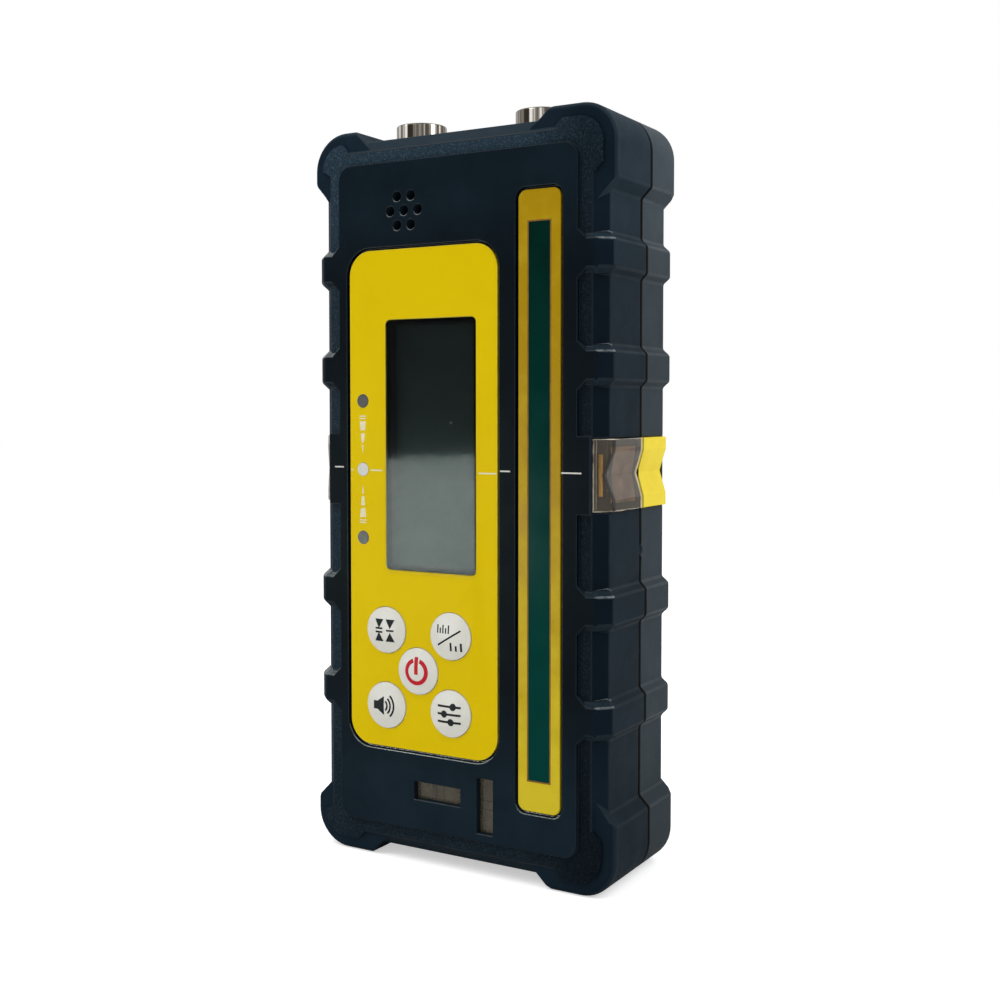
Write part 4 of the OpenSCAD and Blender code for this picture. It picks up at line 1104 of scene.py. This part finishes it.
def magnetCup(hand):
    low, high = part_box(f"magnet_{hand}")
    centre = (low + high) / 2
    radius = (high.x - low.x) / 2

    def isLevel(face):
        return face.normal.z > magnet["level"]

    def isTilted(face):
        return magnet["tilt"] < face.normal.z < magnet["level"]

    def onRim(point):
        away = math.hypot(point.x - centre.x, point.y - centre.y)
        return point.z > high.z - hair * mm and away > radius - magnet["draft"] * mm

    cup = addPiece(bpy.ops.mesh.primitive_cylinder_add, f"magnetCup_{hand}", vertices=96, radius=radius,
                   depth=high.z - low.z, location=centre)
    setFinish(cup, "nickel", "nickelFace", "nickelRimDarkReflection")
    editPiece(cup, "FACE")
    pickWhere(cup, "faces", isLevel)
    bpy.ops.mesh.inset(thickness=magnet["wall"] * mm)
    bpy.ops.mesh.inset(thickness=magnet["draft"] * mm, depth=-magnet["sink"] * mm)
    bpy.ops.mesh.inset(thickness=magnet["ring"] * mm)
    bpy.ops.mesh.inset(thickness=magnet["draft"] * mm, depth=magnet["discRise"] * magnet["sink"] * mm)
    bpy.ops.mesh.select_mode(type="EDGE")
    pickSharp(cup, onRim, meshLook["sharp"])
    bevelPicked(*magnet["rim"], profile=magnet["profile"])
    paintFaces(cup, 1, isLevel)
    # the rounded rim takes a dark painted reflection
    paintFaces(cup, 2, isTilted)
    leaveEdit()
    smoothPiece(cup)
    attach(cup, "case")
    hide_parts(f"magnet_{hand}")


for hand in hands:
    magnetCup(hand)
print("magnets made")

# warm backing and an amber light guide that show through the clear side blocks
backing = {"seat": 37.7, "film": 0.08, "lift": 0.03, "front": 5.4, "back": 2.2, "half": 6.3, "sheetEdge": 0.02,
               "guide": (37.2, 3.0), "guideSize": (0.95, 0.5, 9.4), "guideEdge": 0.1, "steps": 2}


def roundedBox(name, centre, size, edge):
    piece = addPiece(bpy.ops.mesh.primitive_cube_add, name, stretch=size, size=1, location=centre)
    editPiece(piece)
    pickAll()
    bevelPicked(edge, backing["steps"])
    leaveEdit()
    smoothPiece(piece)
    return piece


def blockBacking(hand):
    side = 1 if hand == "right" else -1
    low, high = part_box(f"side_lens_{hand}")
    start = low.y + backing["front"] * mm
    end = high.y - backing["back"] * mm
    film = backing["film"] * mm
    x = (backing["seat"] + backing["lift"]) * mm + film / 2
    sheet = roundedBox(f"blockBacking_{hand}", (side * x, (start + end) / 2, indexZ),
                       (film, end - start, 2 * backing["half"] * mm), backing["sheetEdge"])
    setFinish(sheet, "taupe")
    guideX, guideDepth = backing["guide"]
    guide = roundedBox(f"blockGuide_{hand}", (side * guideX * mm, frontY + guideDepth * mm, indexZ),
                       [value * mm for value in backing["guideSize"]], backing["guideEdge"])
    setFinish(guide, "amber")
    for piece in (sheet, guide):
        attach(piece, "case")


for hand in hands:
    blockBacking(hand)
print("side blocks backed")

# rounded corners of the grainy band, which lie inside the bumpers' front rims
cornerLook = {"rim": 3.2, "round": (6.0, 14), "short": 1.4, "cut": (2.0, 1), "face": 0.985, "thick": 0.9,
              "edge": (0.2, 3),
              "runs": {"lowRight": (1, 0, 17.0, 16.6), "lowLeft": (-1, 0, 11.8, 16.6),
                       "topRight": (1, 1, 17.0, 16.6), "topLeft": (-1, 1, 11.8, 12.4)}}


def bandCorner(label, side, atTop, sideRun, endRun):
    rim = cornerLook["rim"] * mm
    up = -1 if atTop else 1
    corner = Vector((side * (caseHigh.x - rim), 0, caseHigh.z - rim if atTop else caseLow.z + rim))
    wide = endRun * mm - cornerLook["short"] * mm - rim
    tall = sideRun * mm - cornerLook["short"] * mm - rim
    spot = (corner.x - side * wide / 2, frontY + cornerLook["face"] * mm, corner.z + up * tall / 2)
    piece = addPiece(bpy.ops.mesh.primitive_plane_add, f"bandCorner_{label}", stretch=(wide, tall, 1), size=1,
                     rotation=(math.pi / 2, 0, 0), location=spot)
    editPiece(piece, "VERT")

    def bevelCorner(x, z, width, segments):
        pickAll("DESELECT")
        pickWhere(piece, "verts", lambda vertex: abs(vertex.co.x - x) < hair * mm and (
            abs(vertex.co.z - z) < hair * mm))
        bevelPicked(width, segments, "VERTICES")

    bevelCorner(corner.x, corner.z, *cornerLook["round"])
    bevelCorner(corner.x, corner.z + up * tall, *cornerLook["cut"])
    bevelCorner(corner.x - side * wide, corner.z, *cornerLook["cut"])
    bpy.ops.mesh.select_mode(type="FACE")
    pickAll()
    bpy.ops.mesh.extrude_region_move()
    bpy.ops.transform.translate(value=(0, cornerLook["thick"] * mm, 0))
    pickAll()
    bpy.ops.mesh.normals_make_consistent(inside=False)
    bpy.ops.mesh.select_mode(type="EDGE")
    pickAll("DESELECT")
    pickSharp(piece, nearFront(cornerLook["face"] + hair), meshLook["square"])
    bevelPicked(*cornerLook["edge"])
    leaveEdit()
    setFinish(piece, "band")
    smoothPiece(piece)
    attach(piece, "case")


for label, run in cornerLook["runs"].items():
    bandCorner(label, *run)
print("band corners made")

# glossy glue beads in the grooves under the overlay and the reception frame
beadLook = {"thick": 0.42, "depth": 0.75, "gap": 0.3, "overlayIn": 5.2, "frameIn": 1.6, "end": (0.12, 3)}


def glueBead(name, nodeName, inset):
    low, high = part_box(nodeName)
    spot = ((low.x + high.x) / 2, frontY + beadLook["depth"] * mm, low.z - beadLook["gap"] * mm)
    bead = addPiece(bpy.ops.mesh.primitive_cylinder_add, name, vertices=16, radius=beadLook["thick"] * mm / 2,
                    rotation=(0, math.pi / 2, 0), depth=high.x - low.x - 2 * inset * mm, location=spot)
    editPiece(bead)
    pickSharp(bead, everywhere, meshLook["square"])
    bevelPicked(*beadLook["end"])
    leaveEdit()
    setFinish(bead, "bead")
    smoothPiece(bead)
    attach(bead, "case")


glueBead("overlayBead", "keypad_overlay", beadLook["overlayIn"])
glueBead("frameBead", "sensor_frame", beadLook["frameIn"])

# fine lines on the faces of the two levels
vialLook = {"apart": 2.0, "thick": 0.14, "across": 3.9, "face": 1.6, "film": 0.01}


def vialLines(name, nodeName, standing):
    middle = middleOf(nodeName)
    marks = []
    for offset in (-vialLook["apart"] / 2, vialLook["apart"] / 2):
        if standing:
            marks.append(flatBar(0, offset, vialLook["across"], vialLook["thick"]))
        else:
            marks.append(flatBar(offset, 0, vialLook["thick"], vialLook["across"]))
    printMarks(name, marks, "vialInk", "case", (middle.x, frontY + vialLook["face"] * mm, middle.z),
               thick=vialLook["film"])


vialLines("vialLines_lying", "vial_lying", False)
vialLines("vialLines_standing", "vial_standing", True)
print("beads and level lines made")

# stage: a pale floor that keeps the shadow, a white surround, soft lamps and the camera
stageLook = {"floorSize": 6.0, "floor": rgb(0.9, 0.9, 0.9), "floorLift": 0.5, "ambient": 0.55,
             "white": rgb(1.0, 1.0, 1.0)}


def emptyTree(owner):
    owner.use_nodes = True
    owner.node_tree.nodes.clear()
    return owner.node_tree


def makeFloor():
    clearSelection()
    bpy.ops.mesh.primitive_plane_add(size=stageLook["floorSize"], location=(0, 0, cadBox[0].z))
    floor = bpy.context.object
    floor.name = "paleFloor"
    finish = bpy.data.materials.new("paleFloor")
    tree = emptyTree(finish)
    path = place(tree, "ShaderNodeLightPath")
    matte = place(tree, "ShaderNodeBsdfDiffuse", {"Color": stageLook["floor"]})
    lift = combine(tree, "MULTIPLY", path.outputs["Is Camera Ray"], stageLook["floorLift"])
    glow = place(tree, "ShaderNodeEmission", {"Strength": lift})
    both = place(tree, "ShaderNodeAddShader", {0: matte.outputs[0], 1: glow.outputs[0]})
    place(tree, "ShaderNodeOutputMaterial", {"Surface": both.outputs[0]})
    floor.data.materials.append(finish)


def makeSurround():
    world = bpy.data.worlds.new("whiteSurround")
    tree = emptyTree(world)
    path = place(tree, "ShaderNodeLightPath")
    seen = combine(tree, "MAXIMUM", path.outputs["Is Camera Ray"], path.outputs["Is Glossy Ray"])
    seen = combine(tree, "MAXIMUM", seen, path.outputs["Is Transmission Ray"])
    soft = place(tree, "ShaderNodeBackground", {"Color": stageLook["white"], "Strength": stageLook["ambient"]})
    white = place(tree, "ShaderNodeBackground", {"Color": stageLook["white"], "Strength": 1.0})
    both = place(tree, "ShaderNodeMixShader", {0: seen, 1: soft.outputs[0], 2: white.outputs[0]})
    place(tree, "ShaderNodeOutputWorld", {"Surface": both.outputs[0]})
    scene.world = world


def addLamp(name, where, aim, size, power, roll=0.0, tint=(1.0, 1.0, 1.0), onlyGloss=False):
    lamp = bpy.data.lights.new(name, "AREA")
    lamp.shape = "RECTANGLE"
    lamp.size, lamp.size_y = size
    lamp.energy = power
    lamp.color = tint
    holder = bpy.data.objects.new(name, lamp)
    holder.location = where
    holder.rotation_euler = (Vector(aim) - Vector(where)).to_track_quat("-Z", "Y").to_euler()
    holder.rotation_euler.rotate_axis("Z", math.radians(roll))
    holder.visible_diffuse = not onlyGloss
    scene.collection.objects.link(holder)


makeFloor()
makeSurround()
partMiddle = (cadBox[0] + cadBox[1]) / 2
lampLooks = {
    "topSoftbox": dict(where=(-0.25, -0.35, 0.75), aim=partMiddle, size=(0.6, 0.6), power=3.6),
    "rightSoftbox": dict(where=(0.38, 0.05, 0.42), aim=partMiddle, size=(0.35, 0.4), power=1.35),
    "lowCard": dict(where=(-0.180, -0.277, 0.0545), aim=(-0.006, frontY, 0.0852), size=(0.085, 0.064), power=0.54,
                    roll=1.9, tint=(0.88, 1.0, 0.96), onlyGloss=True),
}
for name, look in lampLooks.items():
    addLamp(name, **look)

# camera at the photograph's angle, fitted to a square picture of this many pixels
cameraLook = {"picture": 1000, "focal": 1313, "centreRow": 460, "turn": 30.53, "tilt": 2.27,
              "place": (165.9, -276.7, 110.3), "sensor": 36.0, "nearest": 10}
lens = bpy.data.cameras.new("photoCamera")
lens.sensor_width = cameraLook["sensor"]
lens.lens = cameraLook["focal"] / cameraLook["picture"] * cameraLook["sensor"]
lens.shift_y = cameraLook["centreRow"] / cameraLook["picture"] - 0.5
lens.clip_start = cameraLook["nearest"] * mm
camera = bpy.data.objects.new("photoCamera", lens)
camera.location = [value * mm for value in cameraLook["place"]]
camera.rotation_euler = (math.radians(90 - cameraLook["tilt"]), 0, math.radians(cameraLook["turn"]))
scene.collection.objects.link(camera)
scene.camera = camera
scene.view_settings.view_transform = "Standard"
print("stage set")
